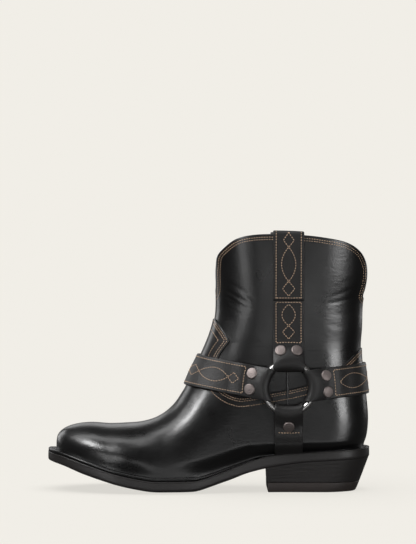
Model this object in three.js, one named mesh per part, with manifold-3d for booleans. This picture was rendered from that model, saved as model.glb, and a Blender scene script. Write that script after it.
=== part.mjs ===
// Left harness boot: low western boot with a scalloped shaft, a ring on each side and riveted straps.
// Millimetres. The toe points to -X, the outer (lateral) side to -Y, +Z is up, the floor is z = 0.
import * as THREE from 'three';
import { mergeVertices } from 'three/addons/utils/BufferGeometryUtils.js';
import Module from 'manifold-3d';

const wasm = await Module();
wasm.setup();

// Overall sizes
const soleLength = 285;
const ballWidth = 89;
const ankleHeight = 130;
const bootHeight = 226;
const ankleWidth = 67;
const shaftWidth = 80;

// Sole and heel sizes
const toeSpring = 26.5;
const heelPitch = 21.3;
const soleThickness = 8.5;
const crown = 3;
const crownFade = 35;
const weltThickness = 2.8;
const weltEnd = 0.64;
const weltTaper = 0.35;
const weltTaperRun = 0.22;
const weltStep = 0.05;
const weltTuck = 9;
const toeMargin = 8.3;
const sideMargin = 4.8;
const seatMargin = 3.2;
const heelBreast = 0.679;
const heelSlant = 12;
const heelTuck = 3.6;
const topLiftThickness = 8.5;

// Leather and fit
const wall = 2.2;
const overlay = 1.1;
const strapThickness = 2.4;
const gap = 0.3;
const insoleThickness = 3;
const insoleFit = 1;
const foldFit = 0.5;

// Rings, straps and rivets
const ringRadius = 21.95;
const ringBar = 5.1;
const ringAlong = 0.7444;
const ringUp = 92;
const verticalStrapWidth = 27;
const lowerStrapWidth = 24.4;
const frontStrapWidth = 28.4;
const rearStrapWidth = 27.2;
const strapSeamUp = 167.5;
const pullStrapRise = 2.2;
const rivetRadius = 5.1;
const rivetDome = 2.1;
const rivetSpacing = 13.9;
const rivetOut = 33.5;
const hangerRivetOut = 32.3;
const liningEnd = 18;
const frontLoop = 17;
const rearLoop = 16.6;
const hangerLoop = 13.5;
const lowerLoop = 15.3;
const loopUnder = 41;
const loopStep = 1;
const loopFall = 5.5;
const bandStart = 43;
const bandLap = 4;

// How full the forepart is over the welt
const featherSwell = 16;
const toeFullness = 1.03;
const toeBlend = 2.5;
const toeRoundLimit = 0.9;
const breastLean = 0.8;

// Room that cutting shapes have past what they cut
const capRise = 20;
const cutDrop = 6;
const cutRise = 30;
const cutMargin = 40;
const cutReach = 160;
const innerRoom = 12;
const liningRoom = 14;
const collarTuck = 0.6;

const colours = {
  leather: { color: 0x17171a, roughness: 0.35, metalness: 0 },
  strap: { color: 0x1b1a1b, roughness: 0.5, metalness: 0 },
  sole: { color: 0x2a2523, roughness: 0.55, metalness: 0 },
  lift: { color: 0x2e2625, roughness: 0.7, metalness: 0 },
  insole: { color: 0x3a3029, roughness: 0.8, metalness: 0 },
  steel: { color: 0x9a9390, roughness: 0.35, metalness: 1 },
};

const toeTip = -soleLength / 2;
const heelTip = soleLength / 2;
const place = (along) => toeTip + along * soleLength;
// Heights: up to 1 they are shares of the ankle's height, from 1 to 2 shares of the shaft above it.
const height = (up) => (up <= 1 ? up * ankleHeight : ankleHeight + (up - 1) * (bootHeight - ankleHeight));

// The sole's edge in side view. spring is a share of the toe spring, pitch of the heel's pitch,
// thick of the sole's thickness.
const soleEdge = [
  { along: 0.0, spring: 1.0, pitch: 0.0, thick: 0.88 },
  { along: 0.05, spring: 0.87, pitch: 0.0, thick: 0.93 },
  { along: 0.11, spring: 0.66, pitch: 0.0, thick: 0.98 },
  { along: 0.165, spring: 0.47, pitch: 0.0, thick: 1.0 },
  { along: 0.22, spring: 0.3, pitch: 0.0, thick: 1.0 },
  { along: 0.28, spring: 0.165, pitch: 0.0, thick: 1.0 },
  { along: 0.33, spring: 0.09, pitch: 0.0, thick: 1.0 },
  { along: 0.38, spring: 0.07, pitch: 0.02, thick: 1.0 },
  { along: 0.45, spring: 0.05, pitch: 0.06, thick: 0.98 },
  { along: 0.505, spring: 0.0, pitch: 0.31, thick: 0.92 },
  { along: 0.565, spring: 0.0, pitch: 0.585, thick: 0.98 },
  { along: 0.62, spring: 0.0, pitch: 0.815, thick: 1.1 },
  { along: 0.679, spring: 0.0, pitch: 1.0, thick: 1.22 },
  { along: 0.79, spring: 0.0, pitch: 1.22, thick: 1.02 },
  { along: 0.92, spring: 0.0, pitch: 1.33, thick: 1.0 },
  { along: 1.0, spring: 0.0, pitch: 1.4, thick: 1.0 },
];

// Half widths of the upper at the welt, as shares of half the ball width, and how far the middle
// line swings to the inner side, as a share of the same.
const plan = [
  { along: 0.0, lateral: 0.86, medial: 0.86, swing: 0.13 },
  { along: 0.12, lateral: 0.93, medial: 0.92, swing: 0.1 },
  { along: 0.24, lateral: 1.0, medial: 1.0, swing: 0.05 },
  { along: 0.33, lateral: 1.03, medial: 0.98, swing: 0.02 },
  { along: 0.42, lateral: 0.98, medial: 0.85, swing: 0.0 },
  { along: 0.52, lateral: 0.83, medial: 0.66, swing: 0.0 },
  { along: 0.62, lateral: 0.72, medial: 0.61, swing: 0.0 },
  { along: 0.75, lateral: 0.66, medial: 0.65, swing: 0.0 },
  { along: 0.88, lateral: 0.68, medial: 0.68, swing: 0.0 },
  { along: 1.0, lateral: 0.68, medial: 0.68, swing: 0.0 },
];
const toeRound = 0.235;
const seatRound = 0.115;
const squareness = 2.2;

// Front of the upper in side view, from the top of the toe's wall to the collar.
const frontLine = [
  { along: 0.0292, up: 0.325 },
  { along: 0.034, up: 0.368 },
  { along: 0.0526, up: 0.407 },
  { along: 0.084, up: 0.433 },
  { along: 0.1316, up: 0.446 },
  { along: 0.193, up: 0.439 },
  { along: 0.249, up: 0.4446 },
  { along: 0.305, up: 0.46 },
  { along: 0.343, up: 0.488 },
  { along: 0.381, up: 0.546 },
  { along: 0.4207, up: 0.66 },
  { along: 0.451, up: 0.795 },
  { along: 0.481, up: 0.931 },
  { along: 0.5067, up: 1.094 },
  { along: 0.5195, up: 1.245 },
  { along: 0.522, up: 1.417 },
  { along: 0.518, up: 1.596 },
  { along: 0.503, up: 2.0 },
];
// Back of the upper, from the heel seat to the collar.
const backLine = [
  { along: 0.979, up: 0.315 },
  { along: 0.9875, up: 0.37 },
  { along: 0.992, up: 0.443 },
  { along: 0.9925, up: 0.512 },
  { along: 0.989, up: 0.607 },
  { along: 0.981, up: 0.77 },
  { along: 0.9745, up: 0.908 },
  { along: 0.9744, up: 1.0 },
  { along: 0.978, up: 1.133 },
  { along: 0.981, up: 1.365 },
  { along: 0.99, up: 1.5 },
  { along: 0.9965, up: 1.594 },
  { along: 1.012, up: 2.0 },
];

// Sections of the upper, turning round a point above the vamp: from -1 at the toe to 0 they stand
// upright, from 0 to 1 they turn by a right angle, from 1 to 2 they lie level up to the collar.
// lateral and medial are shares of half the ankle width, top is the rounding towards the front line.
const pivot = { along: 0.29, up: 1.0 };
const sections = [
  { turn: 0.0, lateral: 1.42, medial: 1.36, top: 1.3 },
  { turn: 0.25, lateral: 1.3, medial: 1.24, top: 1.42 },
  { turn: 0.5, lateral: 1.17, medial: 1.12, top: 1.52 },
  { turn: 0.7, lateral: 1.08, medial: 1.05, top: 1.6 },
  { turn: 0.85, lateral: 1.03, medial: 1.02, top: 1.58 },
  { turn: 1.0, lateral: 1.03, medial: 1.03, top: 1.58 },
];
// The shaft above the ankle: side is a share of half the shaft width.
const shaftSections = [
  { turn: 1.0, side: 0.863, round: 1.32 },
  { turn: 1.25, side: 0.9, round: 1.36 },
  { turn: 1.6, side: 0.96, round: 1.42 },
  { turn: 2.0, side: 1.01, round: 1.45 },
];
// Rounding of the heel and back, as shares of half the ankle width.
const backRound = [
  { up: 0.25, round: 0.98 },
  { up: 0.6, round: 1.15 },
  { up: 1.0, round: 1.45 },
  { up: 1.5, round: 1.68 },
  { up: 2.0, round: 1.75 },
];

const clamp01 = (value) => Math.min(1, Math.max(0, value));
const lerp = (a, b, t) => a + (b - a) * t;
const ease = (t) => clamp01(t) ** 2 * (3 - 2 * clamp01(t));
// A quarter of a rounded oval: 0 at the edge, 1 from a whole rounding length inwards.
const quarter = (t) => (1 - (1 - clamp01(t)) ** squareness) ** (1 / squareness);

// Smooth curve through one column of a table, without overshoot.
function column(rows, key, name) {
  const xs = rows.map((row) => row[key]);
  const ys = rows.map((row) => row[name]);
  const last = xs.length - 1;
  const steps = xs.slice(1).map((x, i) => (ys[i + 1] - ys[i]) / (x - xs[i]));
  const slopes = xs.map((x, i) => {
    if (i === 0) return steps[0];
    if (i === last) return steps[last - 1];
    const product = steps[i - 1] * steps[i];
    return product <= 0 ? 0 : (2 * product) / (steps[i - 1] + steps[i]);
  });
  return (x) => {
    if (x <= xs[0]) return ys[0];
    if (x >= xs[last]) return ys[last];
    const i = xs.findIndex((edge, k) => k < last && x < xs[k + 1] && x >= edge);
    const span = xs[i + 1] - xs[i];
    const t = (x - xs[i]) / span;
    const start = ys[i] * (1 + 2 * t) * (1 - t) ** 2 + slopes[i] * span * t * (1 - t) ** 2;
    return start + ys[i + 1] * t * t * (3 - 2 * t) + slopes[i + 1] * span * t * t * (t - 1);
  };
}

const edgeSpring = column(soleEdge, 'along', 'spring');
const edgePitch = column(soleEdge, 'along', 'pitch');
const edgeThick = column(soleEdge, 'along', 'thick');
const planLateral = column(plan, 'along', 'lateral');
const planMedial = column(plan, 'along', 'medial');
const planSwing = column(plan, 'along', 'swing');
const sectionTop = column(sections, 'turn', 'top');
const shaftSide = column(shaftSections, 'turn', 'side');
const shaftRound = column(shaftSections, 'turn', 'round');
const roundBack = column(backRound, 'up', 'round');

const share = (x) => (x - toeTip) / soleLength;
const shaftShare = (z) => (z - ankleHeight) / (bootHeight - ankleHeight);
const upShare = (z) => (z <= ankleHeight ? z / ankleHeight : 1 + shaftShare(z));
const soleBottom = (x) => edgeSpring(share(x)) * toeSpring + edgePitch(share(x)) * heelPitch;
const soleTop = (x) => soleBottom(x) + edgeThick(share(x)) * soleThickness;
const weltHeight = (x) => weltThickness * lerp(weltTaper, 1, ease((weltEnd - share(x)) / weltTaperRun));
// The surface that the upper's lower edge meets.
const feather = (x) => {
  const onWelt = ease((weltEnd + weltStep - share(x)) / weltStep);
  return soleTop(x) + gap + (weltHeight(x) + gap) * onWelt;
};
const swing = (x) => (planSwing(share(x)) * ballWidth) / 2;

const toeWall = place(frontLine[0].along);
const seatBack = place(backLine[0].along);
// Half width of the foot at the welt before the toe and heel are rounded. side is -1 on the lateral side.
const planHalf = (x, side) => ((side < 0 ? planLateral : planMedial)(share(x)) * ballWidth) / 2;

// Half width of the sole's outline.
function soleHalf(x, side, inset = 0) {
  const seat = ease((share(x) - 0.55) / 0.15);
  const margin = lerp(sideMargin, seatMargin, seat) - inset;
  const front = quarter((x - toeTip - inset) / (toeRound * soleLength + toeMargin - inset));
  const back = quarter((heelTip - inset - x) / (seatRound * soleLength + seatMargin - inset));
  return (planHalf(x, side) + margin) * front * back;
}

function smoothLine(rows) {
  const points = rows.map((row) => new THREE.Vector3(place(row.along), 0, height(row.up)));
  return new THREE.CatmullRomCurve3(points, false, 'centripetal').getPoints(160);
}
const frontCurve = smoothLine(frontLine);
const backCurve = smoothLine(backLine);
const pivotX = place(pivot.along);
const pivotZ = height(pivot.up);

// Where a point of the side view lies in the fan of sections.
function turnOf(x, z) {
  if (x <= pivotX) return (x - pivotX) / (pivotX - toeWall);
  if (z >= pivotZ) return 1 + (z - pivotZ) / (bootHeight - pivotZ);
  return 1 - Math.atan2(pivotZ - z, x - pivotX) / (Math.PI / 2);
}

// Moves a side-view line sideways by a distance; a positive distance goes inwards.
function shifted(points, distance, inward) {
  return points.map((point, i) => {
    const before = points[Math.max(0, i - 1)];
    const after = points[Math.min(points.length - 1, i + 1)];
    const run = new THREE.Vector2(after.x - before.x, after.z - before.z).normalize();
    return { x: point.x + run.y * distance * inward, z: point.z - run.x * distance * inward };
  });
}

function lookup(points) {
  const turns = points.map((point) => turnOf(point.x, point.z));
  return (turn) => {
    let i = turns.findIndex((value) => value > turn);
    if (i < 0) i = points.length - 1;
    i = Math.max(1, i);
    const t = (turn - turns[i - 1]) / (turns[i] - turns[i - 1] || 1);
    return { x: lerp(points[i - 1].x, points[i].x, t), z: lerp(points[i - 1].z, points[i].z, t) };
  };
}

function levelLookup(points) {
  return (z) => {
    let i = points.findIndex((point) => point.z > z);
    if (i < 0) i = points.length - 1;
    i = Math.max(1, i);
    const t = clamp01((z - points[i - 1].z) / (points[i].z - points[i - 1].z));
    return lerp(points[i - 1].x, points[i].x, t);
  };
}

// The upper's form, moved inwards by inset (outwards where negative). drop lengthens it below the
// welt and rise above the collar, for a form that cuts.
function upperForm({ inset = 0, drop = 0, rise = 0 }) {
  const front = shifted(frontCurve, inset, 1);
  const back = shifted(backCurve, inset, -1);
  const frontMost = front[0].x;
  front[0].x = frontMost;
  const seatX = back[0].x;
  const underneath = [];
  const count = 80;
  for (let i = 0; i <= count; i += 1) {
    const x = lerp(frontMost, seatX, i / count);
    underneath.push({ x, z: feather(x) - drop });
  }
  const backAbove = back.filter((point) => point.z > feather(seatX) - drop + 0.5);
  const outline = [...underneath, ...backAbove];
  const lift = (points) => {
    const tip = points[points.length - 1];
    const before = points[points.length - 6];
    const slope = (tip.x - before.x) / (tip.z - before.z);
    return rise ? [...points, { x: tip.x + slope * rise, z: tip.z + rise }] : points;
  };
  return {
    inset,
    drop,
    rise,
    frontMost,
    frontAt: lookup(lift(front)),
    backAt: lookup(lift(outline)),
    backLevel: levelLookup(lift(back)),
    seatX,
  };
}

const endTurn = (form) => 2 + form.rise / (bootHeight - pivotZ);

// Half width of the form at a side-view point, towards one side.
function halfWidth(form, x, z, side) {
  const turn = turnOf(x, z);
  const top = form.frontAt(turn);
  const low = form.backAt(turn);
  const edge = planHalf(low.x, side) - form.inset;
  const widthName = side < 0 ? 'lateral' : 'medial';
  let full;
  if (turn <= 0) {
    const middle = (sectionWidth[widthName](0) * ankleWidth) / 2 - form.inset;
    full = lerp(edge * toeFullness, middle, ease(1 + turn * toeBlend));
  } else if (turn <= 1) full = (sectionWidth[widthName](turn) * ankleWidth) / 2 - form.inset;
  else full = (shaftSide(Math.min(turn, 2)) * shaftWidth) / 2 - form.inset;
  const fromLow = Math.hypot(x - low.x, z - low.z);
  const fromTop = Math.hypot(x - top.x, z - top.z);
  const onSole = low.x < form.seatX - 0.01 && low.z < feather(form.seatX) + 0.01 - form.drop;
  const swell = onSole ? ease((fromLow - form.drop) / featherSwell) : 1;
  const across = lerp(edge, full, swell);
  const length = Math.hypot(top.x - low.x, top.z - low.z);
  const half = ankleWidth / 2;
  let rounding = turn <= 1 ? sectionTop(clamp01(turn)) * half : (shaftRound(turn) * shaftWidth) / 2;
  if (turn < 0) rounding = Math.min(rounding, toeRoundLimit * (length - form.drop));
  const towardsToe = quarter((x - form.frontMost) / (toeRound * soleLength));
  const upHere = upShare(z);
  const heel = roundBack(upHere) * half - form.inset;
  const towardsBack = quarter((form.backLevel(z) - x) / heel);
  const towardsTop = quarter(fromTop / (rounding - form.inset));
  return Math.max(0, across) * towardsToe * towardsBack * towardsTop;
}
const sectionWidth = {
  lateral: column(sections, 'turn', 'lateral'),
  medial: column(sections, 'turn', 'medial'),
};

// A closed solid from vertices and triangles, with doubled points merged and flat triangles dropped.
function closedSolid(positions, triangles) {
  const geometry = new THREE.BufferGeometry();
  geometry.setAttribute('position', new THREE.Float32BufferAttribute(positions, 3));
  geometry.setIndex(triangles);
  const merged = mergeVertices(geometry, 1e-3);
  const index = merged.index.array;
  const kept = [];
  for (let i = 0; i < index.length; i += 3) {
    const [a, b, c] = [index[i], index[i + 1], index[i + 2]];
    if (a !== b && b !== c && a !== c) kept.push(a, b, c);
  }
  return toSolid(merged.attributes.position.array, kept);
}

function toSolid(vertices, triangles) {
  const vertProperties = new Float32Array(vertices);
  const mesh = { numProp: 3, vertProperties, triVerts: new Uint32Array(triangles) };
  const solid = new wasm.Manifold(new wasm.Mesh(mesh));
  return solid.volume() < 0 ? flipped(vertices, triangles) : solid;
}

function flipped(vertices, triangles) {
  const turned = [];
  for (let i = 0; i < triangles.length; i += 3) turned.push(triangles[i], triangles[i + 2], triangles[i + 1]);
  const mesh = { numProp: 3, vertProperties: new Float32Array(vertices), triVerts: new Uint32Array(turned) };
  return new wasm.Manifold(new wasm.Mesh(mesh));
}

function geometrySolid(geometry) {
  const bare = geometry.clone();
  bare.deleteAttribute('normal');
  bare.deleteAttribute('uv');
  const merged = mergeVertices(bare, 1e-3);
  return toSolid(merged.attributes.position.array, Array.from(merged.index.array));
}

// Side-view prism through the whole boot, from a list of { x, z } corners.
function prism(corners) {
  const reach = cutReach;
  const outline = new THREE.Shape(corners.map((corner) => new THREE.Vector2(corner.x, corner.z)));
  const geometry = new THREE.ExtrudeGeometry(outline, { depth: reach, bevelEnabled: false });
  geometry.rotateX(Math.PI / 2);
  geometry.translate(0, reach / 2, 0);
  return geometrySolid(geometry);
}

// Places along the foot that get a section: dense at the toe and round the heel.
function footStations(from, to, toeCount, soleCount) {
  const places = [];
  for (let i = 0; i < toeCount; i += 1) {
    places.push(lerp(from, pivotX, 1 - Math.cos((i / toeCount) * (Math.PI / 2))));
  }
  for (let i = 0; i < soleCount; i += 1) {
    places.push(pivotX + (to - pivotX) * Math.sin((i / soleCount) * (Math.PI / 2)));
  }
  const marks = [place(weltEnd), place(weltEnd + weltStep)];
  const clear = places.filter((x) => marks.every((mark) => Math.abs(x - mark) > 4));
  return [...clear, ...marks].sort((a, b) => a - b);
}

function sectionTurns(form, { toe, sole, back: backCount, shaft: shaftCount }) {
  const turns = footStations(form.frontMost, form.seatX, toe, sole).map((x, i) => {
    return i < toe ? turnOf(x, 0) : turnOf(x, feather(x) - form.drop);
  });
  const first = turnOf(form.seatX, feather(form.seatX) - form.drop);
  for (let i = 0; i < backCount; i += 1) turns.push(lerp(first, 1, i / backCount));
  for (let i = 0; i <= shaftCount; i += 1) turns.push(lerp(1, endTurn(form), i / shaftCount));
  return turns;
}

// The whole form as one closed solid.
function formSolid(form, counts) {
  const turns = sectionTurns(form, counts);
  const rows = counts.rows;
  const positions = [];
  const triangles = [];
  for (const turn of turns) {
    const low = form.backAt(turn);
    const top = form.frontAt(turn);
    for (const side of [-1, 1]) {
      for (let j = 0; j <= rows; j += 1) {
        const s = (1 - Math.cos((j / rows) * Math.PI)) / 2;
        const x = lerp(low.x, top.x, s);
        const z = lerp(low.z, top.z, s);
        positions.push(x, swing(x) + side * halfWidth(form, x, z, side), z);
      }
    }
  }
  const stride = 2 * (rows + 1);
  const at = (i, side, j) => i * stride + side * (rows + 1) + j;
  const quad = (a, b, c, d) => triangles.push(a, b, c, a, c, d);
  for (let i = 0; i < turns.length - 1; i += 1) {
    for (let j = 0; j < rows; j += 1) {
      quad(at(i, 0, j), at(i + 1, 0, j), at(i + 1, 0, j + 1), at(i, 0, j + 1));
      quad(at(i, 1, j), at(i, 1, j + 1), at(i + 1, 1, j + 1), at(i + 1, 1, j));
    }
    quad(at(i, 0, 0), at(i, 1, 0), at(i + 1, 1, 0), at(i + 1, 0, 0));
    quad(at(i, 0, rows), at(i + 1, 0, rows), at(i + 1, 1, rows), at(i, 1, rows));
  }
  for (const i of [0, turns.length - 1]) {
    for (let j = 0; j < rows; j += 1) {
      const face = [at(i, 0, j), at(i, 0, j + 1), at(i, 1, j + 1), at(i, 1, j)];
      if (i) face.reverse();
      quad(...face);
    }
  }
  return closedSolid(positions, triangles);
}

const fine = { toe: 9, sole: 16, back: 8, shaft: 5, rows: 11 };
const coarse = { toe: 8, sole: 13, back: 6, shaft: 4, rows: 9 };

// The collar in side view: dips at the front and the back, high at the sides.
const collarLine = [
  { along: 0.5, up: 1.4 },
  { along: 0.517, up: 1.45 },
  { along: 0.5205, up: 1.68 },
  { along: 0.5265, up: 1.8 },
  { along: 0.548, up: 1.873 },
  { along: 0.583, up: 1.948 },
  { along: 0.633, up: 1.984 },
  { along: 0.745, up: 1.99 },
  { along: 0.847, up: 1.964 },
  { along: 0.93, up: 1.91 },
  { along: 0.968, up: 1.836 },
  { along: 0.985, up: 1.76 },
  { along: 0.992, up: 1.69 },
  { along: 0.993, up: 1.594 },
  { along: 0.988, up: 1.5 },
  { along: 0.981, up: 1.42 },
  { along: 1.0, up: 1.38 },
];
function collarCut() {
  const edge = smoothLine(collarLine).filter((point, i) => i % 5 === 0);
  const margin = cutMargin;
  const above = bootHeight + margin;
  const start = edge[0];
  const end = edge[edge.length - 1];
  const corners = [
    ...edge,
    { x: end.x + margin, z: end.z },
    { x: end.x + margin, z: above },
    { x: start.x - margin, z: above },
    { x: start.x - margin, z: start.z },
  ];
  return prism(corners);
}

// Top edge of the vamp and counter in side view, from the front of the tongue to the back.
const toplineRows = [
  { along: 0.46, up: 1.217 },
  { along: 0.523, up: 1.217 },
  { along: 0.566, up: 1.024 },
  { along: 0.529, up: 0.89 },
  { along: 0.525, up: 0.745 },
  { along: 0.5526, up: 0.677 },
  { along: 0.592, up: 0.643 },
  { along: 0.627, up: 0.648 },
  { along: 0.712, up: 0.681 },
  { along: 0.769, up: 0.705 },
  { along: 0.83, up: 0.745 },
  { along: 0.91, up: 0.85 },
  { along: 0.975, up: 0.965 },
  { along: 1.05, up: 1.0 },
];
function vampRegion() {
  const margin = cutMargin;
  const corners = toplineRows.map((row) => ({ x: place(row.along), z: height(row.up) }));
  corners.push({ x: heelTip + margin, z: -margin });
  corners.push({ x: toeTip - margin, z: -margin });
  corners.push({ x: toeTip - margin, z: corners[0].z });
  return prism(corners);
}

const outerForm = upperForm({ inset: 0 });
const overlayForm = upperForm({ inset: -overlay });
const innerForm = upperForm({ inset: wall, drop: innerRoom, rise: innerRoom });

function upperSolid() {
  const skin = formSolid(outerForm, fine);
  const vamp = formSolid(overlayForm, fine).intersect(vampRegion());
  const inside = formSolid(innerForm, coarse);
  return skin.add(vamp).subtract(inside).subtract(collarCut());
}

const stationsOfFoot = footStations(toeWall, seatBack, fine.toe, fine.sole);
const edgeStations = 4;
const stationsOfSole = [
  ...Array.from({ length: edgeStations }, (_, i) => toeTip + (toeWall - toeTip) * (i / edgeStations) ** 2),
  ...stationsOfFoot,
  ...Array.from({ length: edgeStations }, (_, i) => heelTip - (heelTip - seatBack) * (1 - i / 3) ** 2),
];
const between = (from, to) => [from, ...stationsOfSole.filter((x) => x > from + 0.2 && x < to - 0.2), to];

// Plan-shaped plate between two heights that follow the length. half gives its half width.
function plate({ places, half, lower, upper, lanes }) {
  const positions = [];
  const triangles = [];
  const stride = 2 * (lanes.length);
  const stations = places.length - 1;
  for (const x of places) {
    for (const level of [lower, upper]) {
      for (const lane of lanes) {
        const y = swing(x) + lane * half(x, Math.sign(lane) || 1);
        positions.push(x, y, level(x, lane));
      }
    }
  }
  const count = lanes.length;
  const at = (i, level, k) => i * stride + level * count + k;
  const quad = (a, b, c, d) => triangles.push(a, b, c, a, c, d);
  for (let i = 0; i < stations; i += 1) {
    for (let k = 0; k < count - 1; k += 1) {
      quad(at(i, 0, k), at(i, 0, k + 1), at(i + 1, 0, k + 1), at(i + 1, 0, k));
      quad(at(i, 1, k), at(i + 1, 1, k), at(i + 1, 1, k + 1), at(i, 1, k + 1));
    }
    quad(at(i, 0, 0), at(i + 1, 0, 0), at(i + 1, 1, 0), at(i, 1, 0));
    quad(at(i, 0, count - 1), at(i, 1, count - 1), at(i + 1, 1, count - 1), at(i + 1, 0, count - 1));
  }
  for (const i of [0, stations]) {
    for (let k = 0; k < count - 1; k += 1) {
      const face = [at(i, 0, k), at(i, 1, k), at(i, 1, k + 1), at(i, 0, k + 1)];
      if (i) face.reverse();
      quad(...face);
    }
  }
  return closedSolid(positions, triangles);
}

const flatLanes = [-1, 1];
const crownLanes = [-1, -0.8, -0.45, 0, 0.45, 0.8, 1];
const breastX = place(heelBreast);

function outsoleSolid() {
  const crowned = (x, lane) => {
    const fade = ease((x - toeTip) / crownFade) * ease((breastX - x) / crownFade);
    return Math.max(0, soleBottom(x) - crown * (1 - Math.abs(lane) ** 3) * fade);
  };
  return plate({
    places: between(toeTip, heelTip),
    half: (x, side) => soleHalf(x, side),
    lower: crowned,
    upper: (x) => soleTop(x),
    lanes: crownLanes,
  });
}

// Half width of the line where the upper's inner wall meets the welt, moved in by a distance.
function footHalf(x, side, inset) {
  const front = quarter((x - toeWall - inset) / (toeRound * soleLength));
  const heelRound = (backRound[0].round * ankleWidth) / 2;
  const back = quarter((seatBack - inset - x) / (heelRound - inset));
  return Math.max(0, planHalf(x, side) - inset) * front * back;
}

function weltSolid() {
  const end = place(weltEnd);
  const ring = plate({
    places: between(toeTip + gap, end),
    half: (x, side) => soleHalf(x, side, gap),
    lower: (x) => soleTop(x) + gap,
    upper: (x) => soleTop(x) + gap + weltHeight(x),
    lanes: flatLanes,
  });
  const hole = plate({
    places: between(toeWall + weltTuck, seatBack - weltTuck),
    half: (x, side) => footHalf(x, side, weltTuck),
    lower: (x) => soleTop(x) - weltTuck,
    upper: (x) => soleTop(x) + weltTuck,
    lanes: flatLanes,
  });
  return ring.subtract(hole);
}

function insoleSolid() {
  const inset = wall + insoleFit;
  return plate({
    places: between(toeWall + inset, seatBack - inset),
    half: (x, side) => footHalf(x, side, inset),
    lower: (x) => feather(x),
    upper: (x) => feather(x) + insoleThickness,
    lanes: flatLanes,
  });
}

// Heel block between two levels. Its back slants in and its sides draw in towards the floor.
function heelPart(topAt, bottomAt, sink) {
  const rows = 9;
  const outline = (x0, level) => {
    const down = clamp01(1 - level / soleBottom(heelTip));
    const back = heelTip - heelSlant * down;
    const x = lerp(breastX + breastLean * down, back, x0);
    const tuck = heelTuck * down;
    const stretched = lerp(breastX, heelTip, (x - breastX) / (back - breastX));
    return { x, half: (side) => Math.max(0, soleHalf(stretched, side, 0) - tuck * clamp01((1 - x0) * 8)) };
  };
  const positions = [];
  const triangles = [];
  for (let i = 0; i <= rows; i += 1) {
    const x0 = Math.sin((i / rows) * (Math.PI / 2));
    const straight = lerp(breastX, heelTip, x0);
    for (const level of [bottomAt(straight), topAt(straight)]) {
      const cut = outline(x0, level);
      for (const side of [-1, 1]) positions.push(cut.x, side * cut.half(side), level - sink);
    }
  }
  const at = (i, level, side) => i * 4 + level * 2 + side;
  const quad = (a, b, c, d) => triangles.push(a, b, c, a, c, d);
  for (let i = 0; i < rows; i += 1) {
    quad(at(i, 0, 0), at(i, 0, 1), at(i + 1, 0, 1), at(i + 1, 0, 0));
    quad(at(i, 1, 0), at(i + 1, 1, 0), at(i + 1, 1, 1), at(i, 1, 1));
    quad(at(i, 0, 0), at(i + 1, 0, 0), at(i + 1, 1, 0), at(i, 1, 0));
    quad(at(i, 0, 1), at(i, 1, 1), at(i + 1, 1, 1), at(i + 1, 0, 1));
  }
  quad(at(0, 0, 0), at(0, 1, 0), at(0, 1, 1), at(0, 0, 1));
  quad(at(rows, 0, 1), at(rows, 1, 1), at(rows, 1, 0), at(rows, 0, 0));
  return closedSolid(positions, triangles);
}
const heelStackSolid = () => heelPart((x) => soleBottom(x) - gap, () => topLiftThickness + gap, 0);
const topLiftSolid = () => heelPart(() => topLiftThickness, () => 0, 0);

// A strap is a layer on the boot between two offsets of the upper's form, cut by a side-view outline.
function layer(lift, thickness) {
  const over = formSolid(upperForm({ inset: -lift - thickness, rise: capRise }), fine);
  const under = formSolid(upperForm({ inset: -lift, drop: cutDrop, rise: cutRise }), fine);
  return over.subtract(under);
}

const ringX = place(ringAlong);
const strapLift = overlay + gap;
const loopRadius = ringBar / 2 + gap + strapThickness / 2;
const strapForms = {
  plain: upperForm({ inset: -gap }),
  raised: upperForm({ inset: -strapLift }),
};

// The ring lies against the boot: its middle plane leans with the surface under it. out is the
// plane's distance from the boot's middle at the ring's centre, lean its slope with height.
function ringPlane(side) {
  const wide = (dx, dz) => halfWidth(strapForms.raised, ringX + dx, ringUp + dz, side);
  const lean = (wide(0, ringRadius) - wide(0, -ringRadius)) / (2 * ringRadius);
  const clearances = [];
  for (let k = 0; k < 12; k += 1) {
    const dx = ringRadius * Math.cos((k * Math.PI) / 6);
    const dz = ringRadius * Math.sin((k * Math.PI) / 6);
    clearances.push(wide(dx, dz) - lean * dz);
  }
  return { out: Math.max(...clearances) + foldFit + strapThickness + gap + ringBar / 2, lean };
}
const ringPlanes = { '-1': ringPlane(-1), 1: ringPlane(1) };
const ringAt = (side, z) => ringPlanes[side].out + ringPlanes[side].lean * (z - ringUp);

// Directions of the four straps from the ring's middle, in side view.
const strapAngles = { front: Math.PI - 0.163, rear: 0.1, hanger: Math.PI / 2, lower: -Math.PI / 2 };
// How near to the ring's middle each strap's loop reaches.
const loopInner = { front: frontLoop, rear: rearLoop, hanger: hangerLoop, lower: lowerLoop };

// The room that a folded end has between its two neighbours round the ring.
function foldRoom(angle) {
  const turn = (other) => Math.atan2(Math.sin(other - angle), Math.cos(other - angle));
  const turns = Object.values(strapAngles).map(turn).filter((t) => Math.abs(t) > 0.01);
  const left = Math.min(...turns.filter((t) => t > 0)) / 2;
  const right = Math.max(...turns.filter((t) => t < 0)) / 2;
  const reach = cutReach;
  const start = gap / Math.sin(Math.min(left, -right));
  const corner = (r, t) => ({ x: ringX + r * Math.cos(angle + t), z: ringUp + r * Math.sin(angle + t) });
  const tip = corner(start, 0);
  const far = (t) => ({ x: tip.x + reach * Math.cos(angle + t), z: tip.z + reach * Math.sin(angle + t) });
  return prism([tip, far(right), far(left)]);
}

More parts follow.
